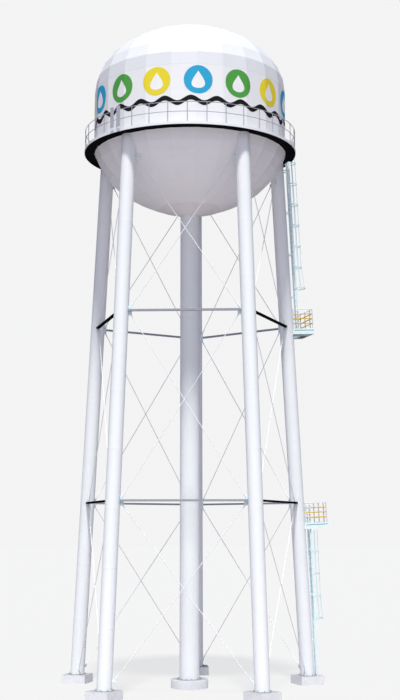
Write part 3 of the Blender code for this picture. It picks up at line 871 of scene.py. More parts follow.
def dress(nodes: dict, names: Iterable[str], finish: Paint | Concrete) -> None:
    """Give CAD nodes a finish in place of their plain colour.

    Args:
        nodes: the CAD nodes by name.
        names: the ones to dress.
        finish: their finish.
    """
    for name in names:
        mesh = nodes[name].data
        mesh.materials.clear()
        mesh.materials.append(finish.material())
        log.info("%s: %s", name, finish.name)


# The tower's sub-assemblies


@dataclass
class Columns:
    """The five legs and the riser pipe, rolled from cans with a weld bead at each joint, and their feet."""

    sides: int = 64
    riser_radius: float = 0.525
    riser_top: float = 25.3605
    leg_top: float = RIM_Z - 0.0045
    can: float = 2.95
    shortest_can: float = 0.3
    bead_height: float = 0.005
    bead_half: float = 0.018
    bead_steps: tuple = (-5.0, -4.0, -2.0, -1.0, 0.0, 1.0, 2.0, 4.0, 5.0)
    plinth_radius: float = 0.98
    plinth_sides: int = 96
    edge_ease: float = 0.02
    ease_segments: int = 3
    ease_steps: int = 5
    base_sides: int = 48
    base_low: float = 0.0005
    base_thickness: float = 0.025
    base_chamfer: float = 0.004
    base_gap: float = 0.001
    leg_base: tuple = (0.47, 8)
    riser_base: tuple = (0.66, 12)
    stud: tuple = ((0.013, 0.0), (0.013, 0.065), (0.009, 0.07))
    stud_sides: int = 10
    nut: tuple = (0.05, 0.03)

    def profile(self, radius: float, top: float) -> np.ndarray:
        """Work out (radius, height) down a column: a bell-shaped bead stands on it at every can's end.

        The bead's height falls with the square of the distance from the joint, as e to that power.

        Args:
            radius: the column's own radius.
            top: where it ends.

        Returns:
            The (radius, height) pairs.
        """
        foot = PAD_HEIGHT + SEAT
        joints = np.arange(foot + self.can, top - self.shortest_can, self.can)
        spread = np.array(self.bead_steps) * self.bead_half
        heights = (joints[:, None] + spread[None]).ravel()
        bead = np.tile(self.bead_height * np.exp(-((spread / self.bead_half) ** 2)), len(joints))
        z = np.concatenate(((foot,), heights, (top,)))
        return np.column_stack((radius + np.concatenate(((0.0,), bead, (0.0,))), z))

    def rings(self, leg: Leg | None) -> np.ndarray:
        """Work out a column's level rings: a leg's lean inwards as they rise, the riser's stand upright.

        A ring's point is the column's centre at that height plus the radius times the unit circle's point.

        Args:
            leg: the leg, or none for the riser.

        Returns:
            The rings.
        """
        turn, reach, lean, radius, top = 0.0, 0.0, 0.0, self.riser_radius, self.riser_top
        if leg is not None:
            turn, reach, lean, radius, top = LEG_TURNS[leg], LEG_REACH, LEG_LEAN, LEG_RADIUS, self.leg_top
        profile = self.profile(radius, top)
        radii, heights = profile[:, :1, None], profile[:, 1:, None]
        section = circle(1.0, self.sides)
        level = section[None, :, :1] * outward(turn) + section[None, :, 1:] * sideways(turn)
        return outward(turn) * (reach - lean * heights) + UP * heights + radii * level

    def add_base(self, name: str, base: Frame, inner: float, outer: float, bolts: int) -> None:
        """Make a base ring with a chamfered rim, and the studs and nuts that hold it down.

        Args:
            name: what stands on the ring.
            base: its frame, on top of the concrete.
            inner: the ring's inner radius.
            outer: the ring's outer radius.
            bolts: how many studs there are.
        """
        low, thick = self.base_low, self.base_thickness
        rim = [(outer, low), (outer, thick - self.base_chamfer), (outer - self.base_chamfer, thick)]
        rings = turned_rings([(inner, low), *rim, (inner, thick)], self.base_sides, base)
        # The ring is real steel; its dark grey stands for the dark line round the column's foot, partly a joint
        # and partly painted shade.
        make_piece(f"{name}_base_ring", Shape().loft(rings, closed=True), STRUT, Slot.WHITE)
        angles = (np.arange(bolts) + 0.5) * FULL_TURN / bolts
        spots = np.column_stack((np.cos(angles), np.sin(angles), np.zeros(bolts))) * (inner + outer) / 2
        origins = base.place(spots + UP * thick)
        stud = Shape().loft(turned_rings(self.stud, self.stud_sides, HOME))
        fixings = Shape().copies(hex_bolt(*self.nut), origins, base.x, base.y, UP)
        fixings.copies(stud, origins, base.x, base.y, UP)
        make_piece(f"{name}_anchor_bolts", fixings, GALVANISED, Slot.WHITE)

    def plinth(self) -> Shape:
        """Make the round footing under the riser, its rim eased by a quarter circle.

        Returns:
            The footing.
        """
        ease = self.edge_ease
        radius, height = self.plinth_radius - ease, PAD_HEIGHT - ease
        corner = np.linspace(0.0, math.pi / 2, self.ease_steps)
        rim = np.column_stack((radius + ease * np.cos(corner), height + ease * np.sin(corner)))
        return Shape().loft(turned_rings([(self.plinth_radius, 0.0), *rim], self.plinth_sides, HOME))

    def build(self, nodes: dict) -> None:
        """Make the columns, their base rings and bolts and the plinth, and ease the pads' edges.

        Args:
            nodes: the CAD nodes by name.
        """
        for leg, turn in LEG_TURNS.items():
            name = f"leg_{leg.value}"
            make_piece(f"{name}_column", Shape().loft(self.rings(leg)), WHITE, Slot.WHITE, [name])
            base = Frame(outward(turn), sideways(turn), UP, leg_centre(leg, PAD_HEIGHT))
            self.add_base(name, base, LEG_RADIUS + self.base_gap, *self.leg_base)
            ease = nodes[f"foot_pad_{leg.value}"].modifiers.new("eased_edges", "BEVEL")
            ease.width = self.edge_ease
            ease.segments = self.ease_segments
            ease.limit_method = "ANGLE"
        make_piece("riser_column", Shape().loft(self.rings(None)), WHITE, Slot.WHITE, ["riser_pipe"])
        base = Frame(*np.eye(3), UP * PAD_HEIGHT)
        self.add_base("riser", base, self.riser_radius + self.base_gap, *self.riser_base)
        make_piece("riser_plinth", self.plinth(), CONCRETE, Slot.CONCRETE, ["riser_base"])
        dress(nodes, [f"foot_pad_{leg.value}" for leg in LEG_TURNS], CONCRETE)


@dataclass
class Bracing:
    """The level struts, the crossed tie rods and the gusset plates that hold their ends."""

    strut_levels: tuple = (9.66, 19.34)
    # The faces whose struts are black, as painted shade.
    painted_shade_faces: tuple = (Face.LEFT, Face.RIGHT)
    gusset_size: float = 0.17
    gusset_thickness: float = 0.016
    gusset_chamfer: float = 0.003
    foot_gusset_z: float = 0.88
    top_gusset_z: float = 27.50
    gusset_to_strut: float = 0.17
    bolt: tuple = (0.034, 0.014)
    bolt_inset: float = 0.035
    rod_radius: float = 0.019
    rod_sides: int = 16
    rod_offset: float = 0.006
    sleeve: tuple = (0.06, 0.26)
    sleeve_share: float = 1.55
    pin_radius: float = 0.02
    pin_half: float = 0.045
    pin_sides: int = 12

    def spans(self) -> list[tuple[float, float]]:
        """Work out the low and the high edge of each gusset plate.

        Returns:
            The edges' heights, from the feet up.
        """
        half = self.gusset_size / 2
        reach = self.gusset_to_strut + half
        found = [(self.foot_gusset_z - half, self.foot_gusset_z + half)]
        found += [(z - reach, z + reach) for z in self.strut_levels]
        return found + [(self.top_gusset_z - half, self.top_gusset_z + half)]

    def plates(self, face: Face) -> Shape:
        """Make one face's gusset plates and the bolts on both of their sides.

        Args:
            face: the face.

        Returns:
            The plates and bolts.
        """
        shape = Shape()
        bolt = hex_bolt(*self.bolt)
        half_thick = self.gusset_thickness / 2
        for low_z, high_z in self.spans():
            place, length = face_frame(face, (low_z + high_z) / 2)
            outer, inner = length / 2 - LEG_RADIUS / 2, length / 2 - LEG_RADIUS - self.gusset_size
            half_height = (high_z - low_z) / 2
            rows = np.array((-1.0, 1.0)) * (half_height - self.bolt_inset)
            for way in (-1, 1):
                across = sorted((way * inner, way * outer))
                low, high = (across[0], -half_thick, -half_height), (across[1], half_thick, half_height)
                shape.loft(box_rings(low, high, self.gusset_chamfer, place))
                spots = np.array([(way * (inner + self.bolt_inset), 0.0, z) for z in rows])
                for side in (-1.0, 1.0):
                    origins = place.place(spots + (0.0, side * half_thick, 0.0))
                    shape.copies(bolt, origins, place.x * side, -place.z, place.y * side)
        return shape

    def rods(self, face: Face) -> Shape:
        """Make one face's six rods, each with a sleeve and a pin at its ends.

        Args:
            face: the face.

        Returns:
            The rods, sleeves and pins.
        """
        shape = Shape()
        half = self.gusset_size / 2
        reach = LEG_RADIUS + half
        sleeve_radius = self.rod_radius * self.sleeve_share
        spans = self.spans()
        for low, high in zip(spans, spans[1:]):
            below, low_length = face_frame(face, low[1] - half)
            above, high_length = face_frame(face, high[0] + half)
            pin = below.y * self.pin_half
            for way in (-1, 1):
                start = below.place((-way * (low_length / 2 - reach), way * self.rod_offset, 0.0))
                end = above.place((way * (high_length / 2 - reach), way * self.rod_offset, 0.0))
                shape.loft(rod(start, end, self.rod_radius, self.rod_sides))
                along = unit(end - start)
                for at, inward in ((start, along), (end, -along)):
                    first, last = (at + inward * distance for distance in self.sleeve)
                    shape.loft(rod(first, last, sleeve_radius, self.rod_sides))
                    shape.loft(rod(at - pin, at + pin, self.pin_radius, self.pin_sides))
        return shape

    def build(self, nodes: dict) -> None:
        """Make the rods and plates of each face, and dress the struts.

        Args:
            nodes: the CAD nodes by name.
        """
        for face in FACES:
            name = face.value
            make_piece(f"rods_{name}", self.rods(face), ROD, Slot.WHITE, [f"tie_rods_{name}"])
            make_piece(f"gussets_{name}", self.plates(face), PALE_BLUE, Slot.PALE_BLUE)
            # The struts of the left and right faces are black: painted shade.
            finish = SHADE_BLACK if face in self.painted_shade_faces else STRUT
            dress(nodes, [f"strut_{level.value}_{name}" for level in Level], finish)


@dataclass
class Balcony:
    """The ring round the tank's rim, with its curb, its hand rail and the two panels on it."""

    inner: float = 5.25
    reach: float = 5.84
    plate: float = 0.02
    curb_height: float = 0.15
    curb_thickness: float = 0.02
    chamfer: float = 0.004
    shade_sheet_levels: tuple = (-0.0035, -0.0002)
    shade_sheet_inset: tuple = (0.02, 0.006)
    notch_inner: float = 5.60
    notch_half: float = 0.372
    notch_steps: int = 5
    ring_steps: int = 217
    rail_height: float = 1.067
    rail_radius: float = 0.018
    rail_sides: int = 14
    rail_step: float = 1.25
    post_radius: float = 0.022
    post_sides: int = 16
    post_cap: float = 0.005
    post_crown: float = 0.006
    post_step: float = 10.0
    post_offset: float = 2.0
    posts_in_sector: int = 9
    foot_plate: tuple = ((-0.055, -0.045), (0.0215, 0.045))
    foot_thickness: float = 0.008
    foot_chamfer: float = 0.0015
    foot_bolts: tuple = ((-0.042, -0.03), (-0.042, 0.03))
    foot_bolt: tuple = (0.018, 0.008)
    # The number of each sector's first post, counted from the front in steps of post_step
    sectors: dict = field(
        default_factory=lambda: {
            Sector.BACK_RIGHT: 11,
            Sector.BACK_LEFT: 20,
            Sector.FRONT_LEFT: 29,
            Sector.FRONT_RIGHT: 38,
        }
    )
    gate_sector: Sector = Sector.FRONT_RIGHT

    def ring(self, profile: Sequence) -> np.ndarray:
        """Carry a profile round the tower, cut back at the ladder's notch.

        Each (radius, height) runs round the axis. Between the notch's two sides it is held to the notch's
        inner edge, and its height to the plate's top.

        Args:
            profile: the (radius, height) pairs.

        Returns:
            The rings, one for each turn.
        """
        profile = np.asarray(profile, float)
        radius, height = profile[:, 0], profile[:, 1]
        turn = LEG_TURNS[LADDER_LEG]
        half_angle = math.degrees(math.asin(self.notch_half / self.notch_inner))
        turns = np.linspace(turn + half_angle, turn + 360.0 - half_angle, self.ring_steps)[1:-1]
        open_part = np.stack([arc_points(1.0, turns, 0.0) * r + UP * z for r, z in profile], axis=1)
        top = RIM_Z + self.plate

        def notched(side: float, held: bool) -> np.ndarray:
            """Work out one column of points.

            Args:
                side: its distance from the notch's middle.
                held: whether it is held to the notch's inner edge.

            Returns:
                The points.
            """
            out = np.sqrt(radius**2 - side**2)
            cut = (radius > self.notch_inner) & held
            out = np.where(cut, self.notch_inner, out)
            z = np.where(cut, np.minimum(height, top), height)
            return out[:, None] * outward(turn) + side * sideways(turn) + z[:, None] * UP

        sides = np.linspace(-self.notch_half, self.notch_half, self.notch_steps)
        middle = [notched(side, True) for side in sides]
        columns = [notched(-self.notch_half, False), *middle, notched(self.notch_half, False)]
        return np.concatenate((np.array(columns), open_part))

    def deck(self) -> Shape:
        """Make the plate and its curb, with small chamfers.

        Returns:
            The plate and curb.
        """
        c = self.chamfer
        bottom, top = RIM_Z + SEAT, RIM_Z + self.plate
        curb_top, curb_inner = RIM_Z + self.curb_height, self.reach - self.curb_thickness
        profile = [
            (self.inner, bottom),
            (self.reach - c, bottom),
            (self.reach, bottom + c),
            (self.reach, curb_top - c),
            (self.reach - c, curb_top),
            (curb_inner + c, curb_top),
            (curb_inner, curb_top - c),
            (curb_inner, top),
            (self.inner, top),
        ]
        return Shape().loft(self.ring(profile), closed=True)

    def underside(self) -> Shape:
        """Make the black sheet of painted shade under the plate, a few millimetres thick.

        Returns:
            The sheet of painted shade.
        """
        low, high = (RIM_Z + level for level in self.shade_sheet_levels)
        inner, outer = self.inner + self.shade_sheet_inset[0], self.reach - self.shade_sheet_inset[1]
        profile = [(inner, low), (outer, low), (outer, high), (inner, high)]
        return Shape().loft(self.ring(profile), closed=True)

    def post_reach(self) -> float:
        """Return how far from the axis the posts stand."""
        return self.reach - self.curb_thickness - self.post_radius - SEAT

    def rail_heights(self) -> tuple[float, float]:
        """Return the heights of the middle rail and the top rail."""
        curb_top = RIM_Z + self.curb_height
        return curb_top + self.rail_height / 2, curb_top + self.rail_height - self.post_cap - self.rail_radius

    def railing(self, sector: Sector) -> Shape:
        """Make one sector's posts on their foot plates, and its two bent rails.

        Args:
            sector: the sector.

        Returns:
            The posts, plates, bolts and rails.
        """
        first = self.sectors[sector]
        turns = self.post_offset + self.post_step * np.arange(first, first + self.posts_in_sector)
        reach, foot = self.post_reach(), RIM_Z + self.plate + SEAT
        top = RIM_Z + self.curb_height + self.rail_height
        radius, crown = self.post_radius, self.post_crown
        cap = [(radius, top - crown), (radius * 0.8, top - crown / 4), (radius * 0.3, top)]
        profile = [(radius, foot), *cap]
        plate_top = foot + self.foot_thickness
        low, high = self.foot_plate
        shape = Shape()
        for turn in turns:
            base = Frame(outward(turn), sideways(turn), UP, outward(turn) * reach)
            shape.loft(turned_rings(profile, self.post_sides, base))
            shape.loft(box_rings((*low, foot), (*high, plate_top), self.foot_chamfer, base))
            spots = base.place([(*spot, plate_top) for spot in self.foot_bolts])
            shape.copies(hex_bolt(*self.foot_bolt), spots, base.x, base.y, UP)
        last = turns[-1]
        if sector != self.gate_sector:
            last += self.post_step - math.degrees((radius + SEAT) / reach)
        steps = int(round((last - turns[0]) / self.rail_step)) + 1
        for z in self.rail_heights():
            path = arc_points(reach, np.linspace(turns[0], last, steps), z)
            shape.loft(sweep(path, circle(self.rail_radius, self.rail_sides), UP))
        return shape

    def build(self, nodes: dict) -> None:
        """Make the deck, the black sheet of painted shade under it and the hand rail, and dress the panels.

        Args:
            nodes: the CAD nodes by name.
        """
        make_piece("balcony_ring", self.deck(), WHITE, Slot.WHITE, ["balcony_deck"])
        # A black sheet under the deck: painted shade.
        make_piece("balcony_shade_sheet", self.underside(), SHADE_BLACK, Slot.DARK)
        for sector in self.sectors:
            node = f"balcony_railing_{sector.value}"
            make_piece(f"hand_rail_{sector.value}", self.railing(sector), HAND_RAIL, Slot.WHITE, [node])
        dress(nodes, ("rail_panel_left", "rail_panel_right"), GREY)


@dataclass
class Ladder:
    """The ladder in three flights, with cages on the lower and upper ones."""

    width: float = 0.40
    stile_width: float = 0.085
    stile_thickness: float = 0.014
    stile_chamfer: float = 0.003
    rung_radius: float = 0.013
    rung_sides: int = 10
    rung_spacing: float = 0.305
    first_rung: float = 0.2
    last_rung: float = 0.15
    foot_gap: float = 0.004
    lower_reach: tuple = (7.08, 6.69)
    lower_top: float = 9.55
    middle_place: tuple = (0.35, 0.95)
    upper_place: tuple = (0.645, 0.0)
    upper_top: float = 29.95
    above_deck: float = 1.05
    bracket_first: float = 1.90
    bracket_spacing: float = 2.40
    bracket_length: float = 0.70
    bracket_height: float = 0.05
    bracket_thickness: float = 0.010
    bar_chamfer: float = 0.002
    cage_radius: float = 0.35
    cage_depth: float = 0.47
    hoop_width: float = 0.06
    hoop_thickness: float = 0.012
    hoop_spacing: float = 1.195
    hoop_steps: int = 33
    strap_width: float = 0.05
    strap_thickness: float = 0.010
    straps: int = 5
    rivet: tuple = ((0.011, -0.002), (0.010, 0.003), (0.005, 0.006))
    rivet_sides: int = 8
    # Each cage: its lowest hoop's height, its number of hoops, the lowest one's flare, the straps' top
    cages: dict = field(
        default_factory=lambda: {Flight.LOWER: (3.42, 4, 0.06, 8.17), Flight.UPPER: (21.54, 8, 0.12, 29.94)}
    )

    def frame(self, flight: Flight) -> tuple[Frame, float]:
        """Work out a flight's own frame.

        Args:
            flight: the flight.

        Returns:
            The frame, x across the rungs, y away from the tower and z up the flight, and the flight's length.
        """
        turn = LEG_TURNS[LADDER_LEG]
        side, way = sideways(turn), outward(turn)
        if flight is Flight.LOWER:
            start = way * self.lower_reach[0] + UP * (PAD_HEIGHT + self.foot_gap)
            end = way * self.lower_reach[1] + UP * self.lower_top
        else:
            middle = flight is Flight.MIDDLE
            out, along = self.middle_place if middle else self.upper_place
            bottom = DECK_Z[Level.LOWER if middle else Level.UPPER]
            top = DECK_Z[Level.UPPER] + self.above_deck if middle else self.upper_top
            start = leg_frame(LADDER_LEG, bottom).place((out, along, self.foot_gap))
            end = leg_centre(LADDER_LEG, top) + way * out + side * along
        rise = unit(end - start)
        return Frame(-side, np.cross(rise, -side), rise, start), float(np.linalg.norm(end - start))

    def flight(self, flight: Flight) -> Shape:
        """Make one flight: two flat stiles, round rungs, and the brackets that reach the leg.

        Args:
            flight: the flight.

        Returns:
            The stiles, rungs and brackets.
        """
        place, length = self.frame(flight)
        half, thick = self.width / 2, self.stile_thickness
        edge = self.stile_width / 2
        shape = Shape()
        for way in (-1, 1):
            across = sorted((way * half, way * (half + thick)))
            low, high = (across[0], -edge, 0.0), (across[1], edge, length)
            shape.loft(box_rings(low, high, self.stile_chamfer, place))
        rung_end = np.array((half + thick, 0.0, 0.0))
        rung = Shape().loft(rod(-rung_end, rung_end, self.rung_radius, self.rung_sides))
        rungs = int((length - self.first_rung - self.last_rung) / self.rung_spacing) + 1
        heights = self.first_rung + self.rung_spacing * np.arange(rungs)
        shape.copies(rung, place.place(heights[:, None] * UP), place.x, place.y, place.z)
        inner = half + thick / 2
        count = int((length - self.bracket_first - self.above_deck) / self.bracket_spacing) + 1
        for low in self.bracket_first + self.bracket_spacing * np.arange(count):
            high = low + self.bracket_height
            if flight is Flight.MIDDLE:
                end = self.middle_place[1] - LEG_RADIUS / 3
                near, far = (inner, -self.bracket_thickness, low), (end, 0.0, high)
                shape.loft(box_rings(near, far, self.bar_chamfer, place))
                continue
            for way in (-1, 1):
                across = sorted((way * inner, way * (inner + self.bracket_thickness)))
                near, far = (across[0], -self.bracket_length, low), (across[1], edge / 2, high)
                shape.loft(box_rings(near, far, self.bar_chamfer, place))
        return shape

    def arch(self, spread: float) -> tuple[float, float]:
        """Return the radius of a hoop's half circle and how far its centre stands off, for a flare."""
        radius = self.cage_radius + spread / 2
        return radius, self.cage_depth + spread - radius

    def hoop(self, spread: float) -> np.ndarray:
        """Work out a hoop's path: a straight cheek, a half circle and a straight cheek.

        Args:
            spread: how much further out than the other hoops it reaches.

        Returns:
            Its points across and away from the ladder.
        """
        radius, centre = self.arch(spread)
        start = self.width / 2 + self.stile_thickness + SEAT + self.hoop_thickness / 2
        cheek = np.array([(start, -self.stile_width / 2), (start, self.stile_width / 2)])
        angles = np.linspace(0.0, math.pi, self.hoop_steps)
        arc = np.column_stack((radius * np.cos(angles), centre + radius * np.sin(angles)))
        return np.concatenate((cheek, arc, cheek[::-1] * (-1.0, 1.0)))

    def cage(self, flight: Flight) -> Shape:
        """Make one cage: flat hoops, the lowest flared, the straps inside them and a rivet at each crossing.

        Args:
            flight: the flight that it goes round.

        Returns:
            The hoops, straps and rivets.
        """
        place, _ = self.frame(flight)
        first_z, count, flare, end_z = self.cages[flight]
        low, top = ((z - place.origin[2]) / place.z[2] for z in (first_z, end_z))
        shape = Shape()
        hoop_bar = bar_section(self.hoop_width, self.hoop_thickness, self.bar_chamfer)
        strap_bar = bar_section(self.strap_width, self.strap_thickness, self.bar_chamfer)
        rivet = Shape().loft(turned_rings(self.rivet, self.rivet_sides, HOME))
        angles = np.linspace(0.0, math.pi, self.straps)
        away = np.column_stack((np.cos(angles), np.sin(angles), np.zeros(self.straps)))
        normals = away @ np.array((place.x, place.y, place.z))
        for k in range(count):
            z = low + self.hoop_spacing * k + self.hoop_width / 2
            spread = 0.0 if k else flare
            path = self.hoop(spread)
            shape.loft(sweep(place.place(np.column_stack((path, np.full(len(path), z)))), hoop_bar, place.z))
            radius, centre = self.arch(spread)
            outer = place.place(np.array((0.0, centre, z)) + away * (radius + self.hoop_thickness / 2))
            rising = np.broadcast_to(place.z, normals.shape)
            shape.copies(rivet, outer, np.cross(place.z, normals), rising, normals)
        for direction in away:
            points = []
            for z, spread in ((low, flare), (low + self.hoop_spacing, 0.0), (top, 0.0)):
                radius, centre = self.arch(spread)
                reach = radius - self.hoop_thickness / 2 - self.strap_thickness / 2
                points.append(np.array((0.0, centre, z)) + direction * reach)
            tangent = np.cross(UP, direction) @ np.array((place.x, place.y, place.z))
            shape.loft(sweep(place.place(points), strap_bar, tangent))
        return shape

    def build(self) -> None:
        """Make the flights and the cages."""
        for flight in Flight:
            name = f"ladder_{flight.value}"
            make_piece(f"{name}_flight", self.flight(flight), PALE_BLUE, Slot.PALE_BLUE, [name])
        for flight in self.cages:
            name = f"cage_{flight.value}"
            make_piece(f"{name}_hoops", self.cage(flight), PALE_BLUE, Slot.PALE_BLUE, [name])


@dataclass
class RestPlatform:
    """One rest platform on the ladder's leg: its grating, the painted shade in its toe board's gap, and its
    guard rail.

    Attributes:
        level: which of the two platforms it is.
        outer: how far out of the leg's centre line its deck ends.
        hatch: the low and high edge of the way through it, outwards and sideways.
    """

    level: Level
    outer: float
    hatch: tuple
    inner: float = 0.26
    sides: tuple = (-0.30, 1.75)
    toe_inset: float = 0.008
    toe_thickness: float = 0.012
    guard_height: float = 1.21
    guard_rails: tuple = (0.41, 0.68, 0.94)
    guard_inner: float = 0.36
    post_width: float = 0.044
    post_chamfer: float = 0.003
    top_rail_drop: float = 0.005
    rail_radius: float = 0.016
    bar_radius: float = 0.027
    bar_sides: int = 14
    outer_posts: tuple = (0.17, 0.94)
    last_post: float = 1.42
    joint_heights: tuple = (0.001, 0.036)
    joint_inset: float = 0.0004
    joint_chamfer: float = 0.0005
    grating_inset: float = 0.26
    grating_margin: float = 0.03
    grating_pitch: float = 0.05
    grating_half: float = 0.002
    grating_levels: tuple = (0.0005, 0.025)
    grating_chamfer: float = 0.0008
    cross_pitch: float = 0.10
    cross_z: float = 0.020
    cross_radius: float = 0.003
    cross_sides: int = 6
    hatch_margin: float = 0.01
    shortest_bar: float = 0.05

    def corners(self) -> list[tuple[float, float]]:
        """Work out where the guard's posts stand.

        Returns:
            Their places outwards and sideways, in their order along the guard.
        """
        inset = self.toe_inset + self.toe_thickness / 2 + self.post_width / 2 + SEAT
        outer, near, far = self.outer - inset, self.sides[0] + inset, self.sides[1] - inset
        found = [(self.guard_inner, near), (outer, near)]
        found += [(outer, y) for y in self.outer_posts]
        return found + [(outer, far), (self.guard_inner, far), (self.guard_inner, self.last_post)]

    def posts(self, place: Frame) -> Shape:
        """Make the guard's posts and its top rail.

        Args:
            place: the platform's frame.

        Returns:
            The posts and the rail.
        """
        half = self.post_width / 2
        shape = Shape()
        for x, y in self.corners():
            low, high = (x - half, y - half, SEAT), (x + half, y + half, self.guard_height)
            shape.loft(box_rings(low, high, self.post_chamfer, place))
        top_rail = self.guard_height - self.top_rail_drop - self.rail_radius
        return self.rails(shape, place, (top_rail,), self.rail_radius)

    def rails(self, shape: Shape, place: Frame, heights: Sequence[float], radius: float) -> Shape:
        """Add round bars from post to post.

        Args:
            shape: what they are added to.
            place: the platform's frame.
            heights: the heights of the bars.
            radius: their radius.

        Returns:
            The shape.
        """
        corners = self.corners()
        for height in heights:
            for start, end in zip(corners, corners[1:]):
                first, last = place.place((*start, height)), place.place((*end, height))
                shape.loft(rod(first, last, radius, self.bar_sides))
        return shape

    def runs(self, at: float, hatch: Sequence[float], ends: Sequence[float], gap: Sequence[float]) -> list:
        """Work out the stretches of one grating bar, which stops at either side of the hatch.

        Args:
            at: where the bar lies across its own direction.
            hatch: the hatch's low and high edge in the direction across the bar.
            ends: where the bar starts and ends.
            gap: the hatch's low and high edge along the bar.

        Returns:
            The start and end of each stretch that is long enough.
        """
        margin = self.hatch_margin
        found = [(ends[0], ends[1])]
        if hatch[0] - margin < at < hatch[1] + margin:
            found = [(ends[0], gap[0] - margin), (gap[1] + margin, ends[1])]
        return [(start, end) for start, end in found if end - start > self.shortest_bar]

    def grating(self, place: Frame) -> Shape:
        """Make bar grating on the plate: flat bars outwards and round bars across, clear of the way through.

        Args:
            place: the platform's frame.

        Returns:
            The bars.
        """
        shape = Shape()
        half, (low, high) = self.grating_half, self.grating_levels
        out = (self.inner + self.grating_inset, self.outer - self.grating_margin)
        side = (self.sides[0] + self.grating_margin, self.sides[1] - self.grating_margin)
        hatch_out, hatch_side = self.hatch
        for y in np.arange(*side, self.grating_pitch):
            for start, end in self.runs(y, hatch_side, out, hatch_out):
                near, far = (start, y - half, low), (end, y + half, high)
                shape.loft(box_rings(near, far, self.grating_chamfer, place))
        for x in np.arange(out[0] + self.grating_pitch, out[1], self.cross_pitch):
            for start, end in self.runs(x, hatch_out, side, hatch_side):
                near, far = place.place((x, start, self.cross_z)), place.place((x, end, self.cross_z))
                shape.loft(rod(near, far, self.cross_radius, self.cross_sides))
        return shape

    def joint(self, place: Frame) -> Shape:
        """Make the dark line of painted shade in the gap between the toe board and the deck, on the three outer
        sides.

        Args:
            place: the platform's frame.

        Returns:
            The line of painted shade.
        """
        low, high = self.joint_heights
        near, far = self.sides[0] + self.joint_inset, self.sides[1] - self.joint_inset
        edge, thick = self.outer - self.joint_inset, self.toe_inset
        shape = Shape()
        for start, end in (
            ((edge - thick, near, low), (edge, far, high)),
            ((self.guard_inner, near, low), (edge, near + thick, high)),
            ((self.guard_inner, far - thick, low), (edge, far, high)),
        ):
            shape.loft(box_rings(start, end, self.joint_chamfer, place))
        return shape

    def build(self, nodes: dict) -> None:
        """Make the grating, the painted shade in the toe board's gap and the guard, and dress the deck.

        Args:
            nodes: the CAD nodes by name.
        """
        place = leg_frame(LADDER_LEG, DECK_Z[self.level])
        level = self.level.value
        dress(nodes, [f"platform_{level}"], DECKING)
        make_piece(f"grating_{level}", self.grating(place), LAVENDER, Slot.PALE_BLUE)
        guard = f"platform_guard_{level}"
        make_piece(f"guard_posts_{level}", self.posts(place), LAVENDER, Slot.WHITE, [guard])
        # The toe board's gap is drawn as a dark line: painted shade.
        make_piece(f"toe_gap_shade_{level}", self.joint(place), GAP_SHADE, Slot.PALE_BLUE)
        bars = self.rails(Shape(), place, self.guard_rails, self.bar_radius)
        make_piece(f"guard_bars_{level}", bars, YELLOW, Slot.GUARD)


@dataclass
class TankShell:
    """The tank's wall, bowl, roof and dish, and the weld bead between the bowl and the shallow dish."""

    dish_radius: float = 1.70
    sides: int = 24
    facet_turn: float = 7.5
    drop: float = 3.04
    bead: float = 0.014
    bead_sides: int = 10

    def build(self, nodes: dict) -> None:
        """Dress the shell and make the bead, a round section carried round the dish's corners.

        Args:
            nodes: the CAD nodes by name.
        """
        dress(nodes, ("tank_wall", "tank_bowl"), TANK)
        dress(nodes, ("roof_dome",), ROOF)
        dress(nodes, ("riser_dish",), DISH)
        turns = self.facet_turn + np.arange(self.sides) * 360.0 / self.sides
        corners = arc_points(self.dish_radius, turns, RIM_Z - self.drop)
        away = unit(corners * (1.0, 1.0, 0.0))
        section = circle(self.bead, self.bead_sides)
        rings = corners[:, None] + section[None, :, :1] * away[:, None] + section[None, :, 1:] * UP
        make_piece("dish_rim_bead", Shape().loft(rings, closed=True), WHITE, Slot.TANK)


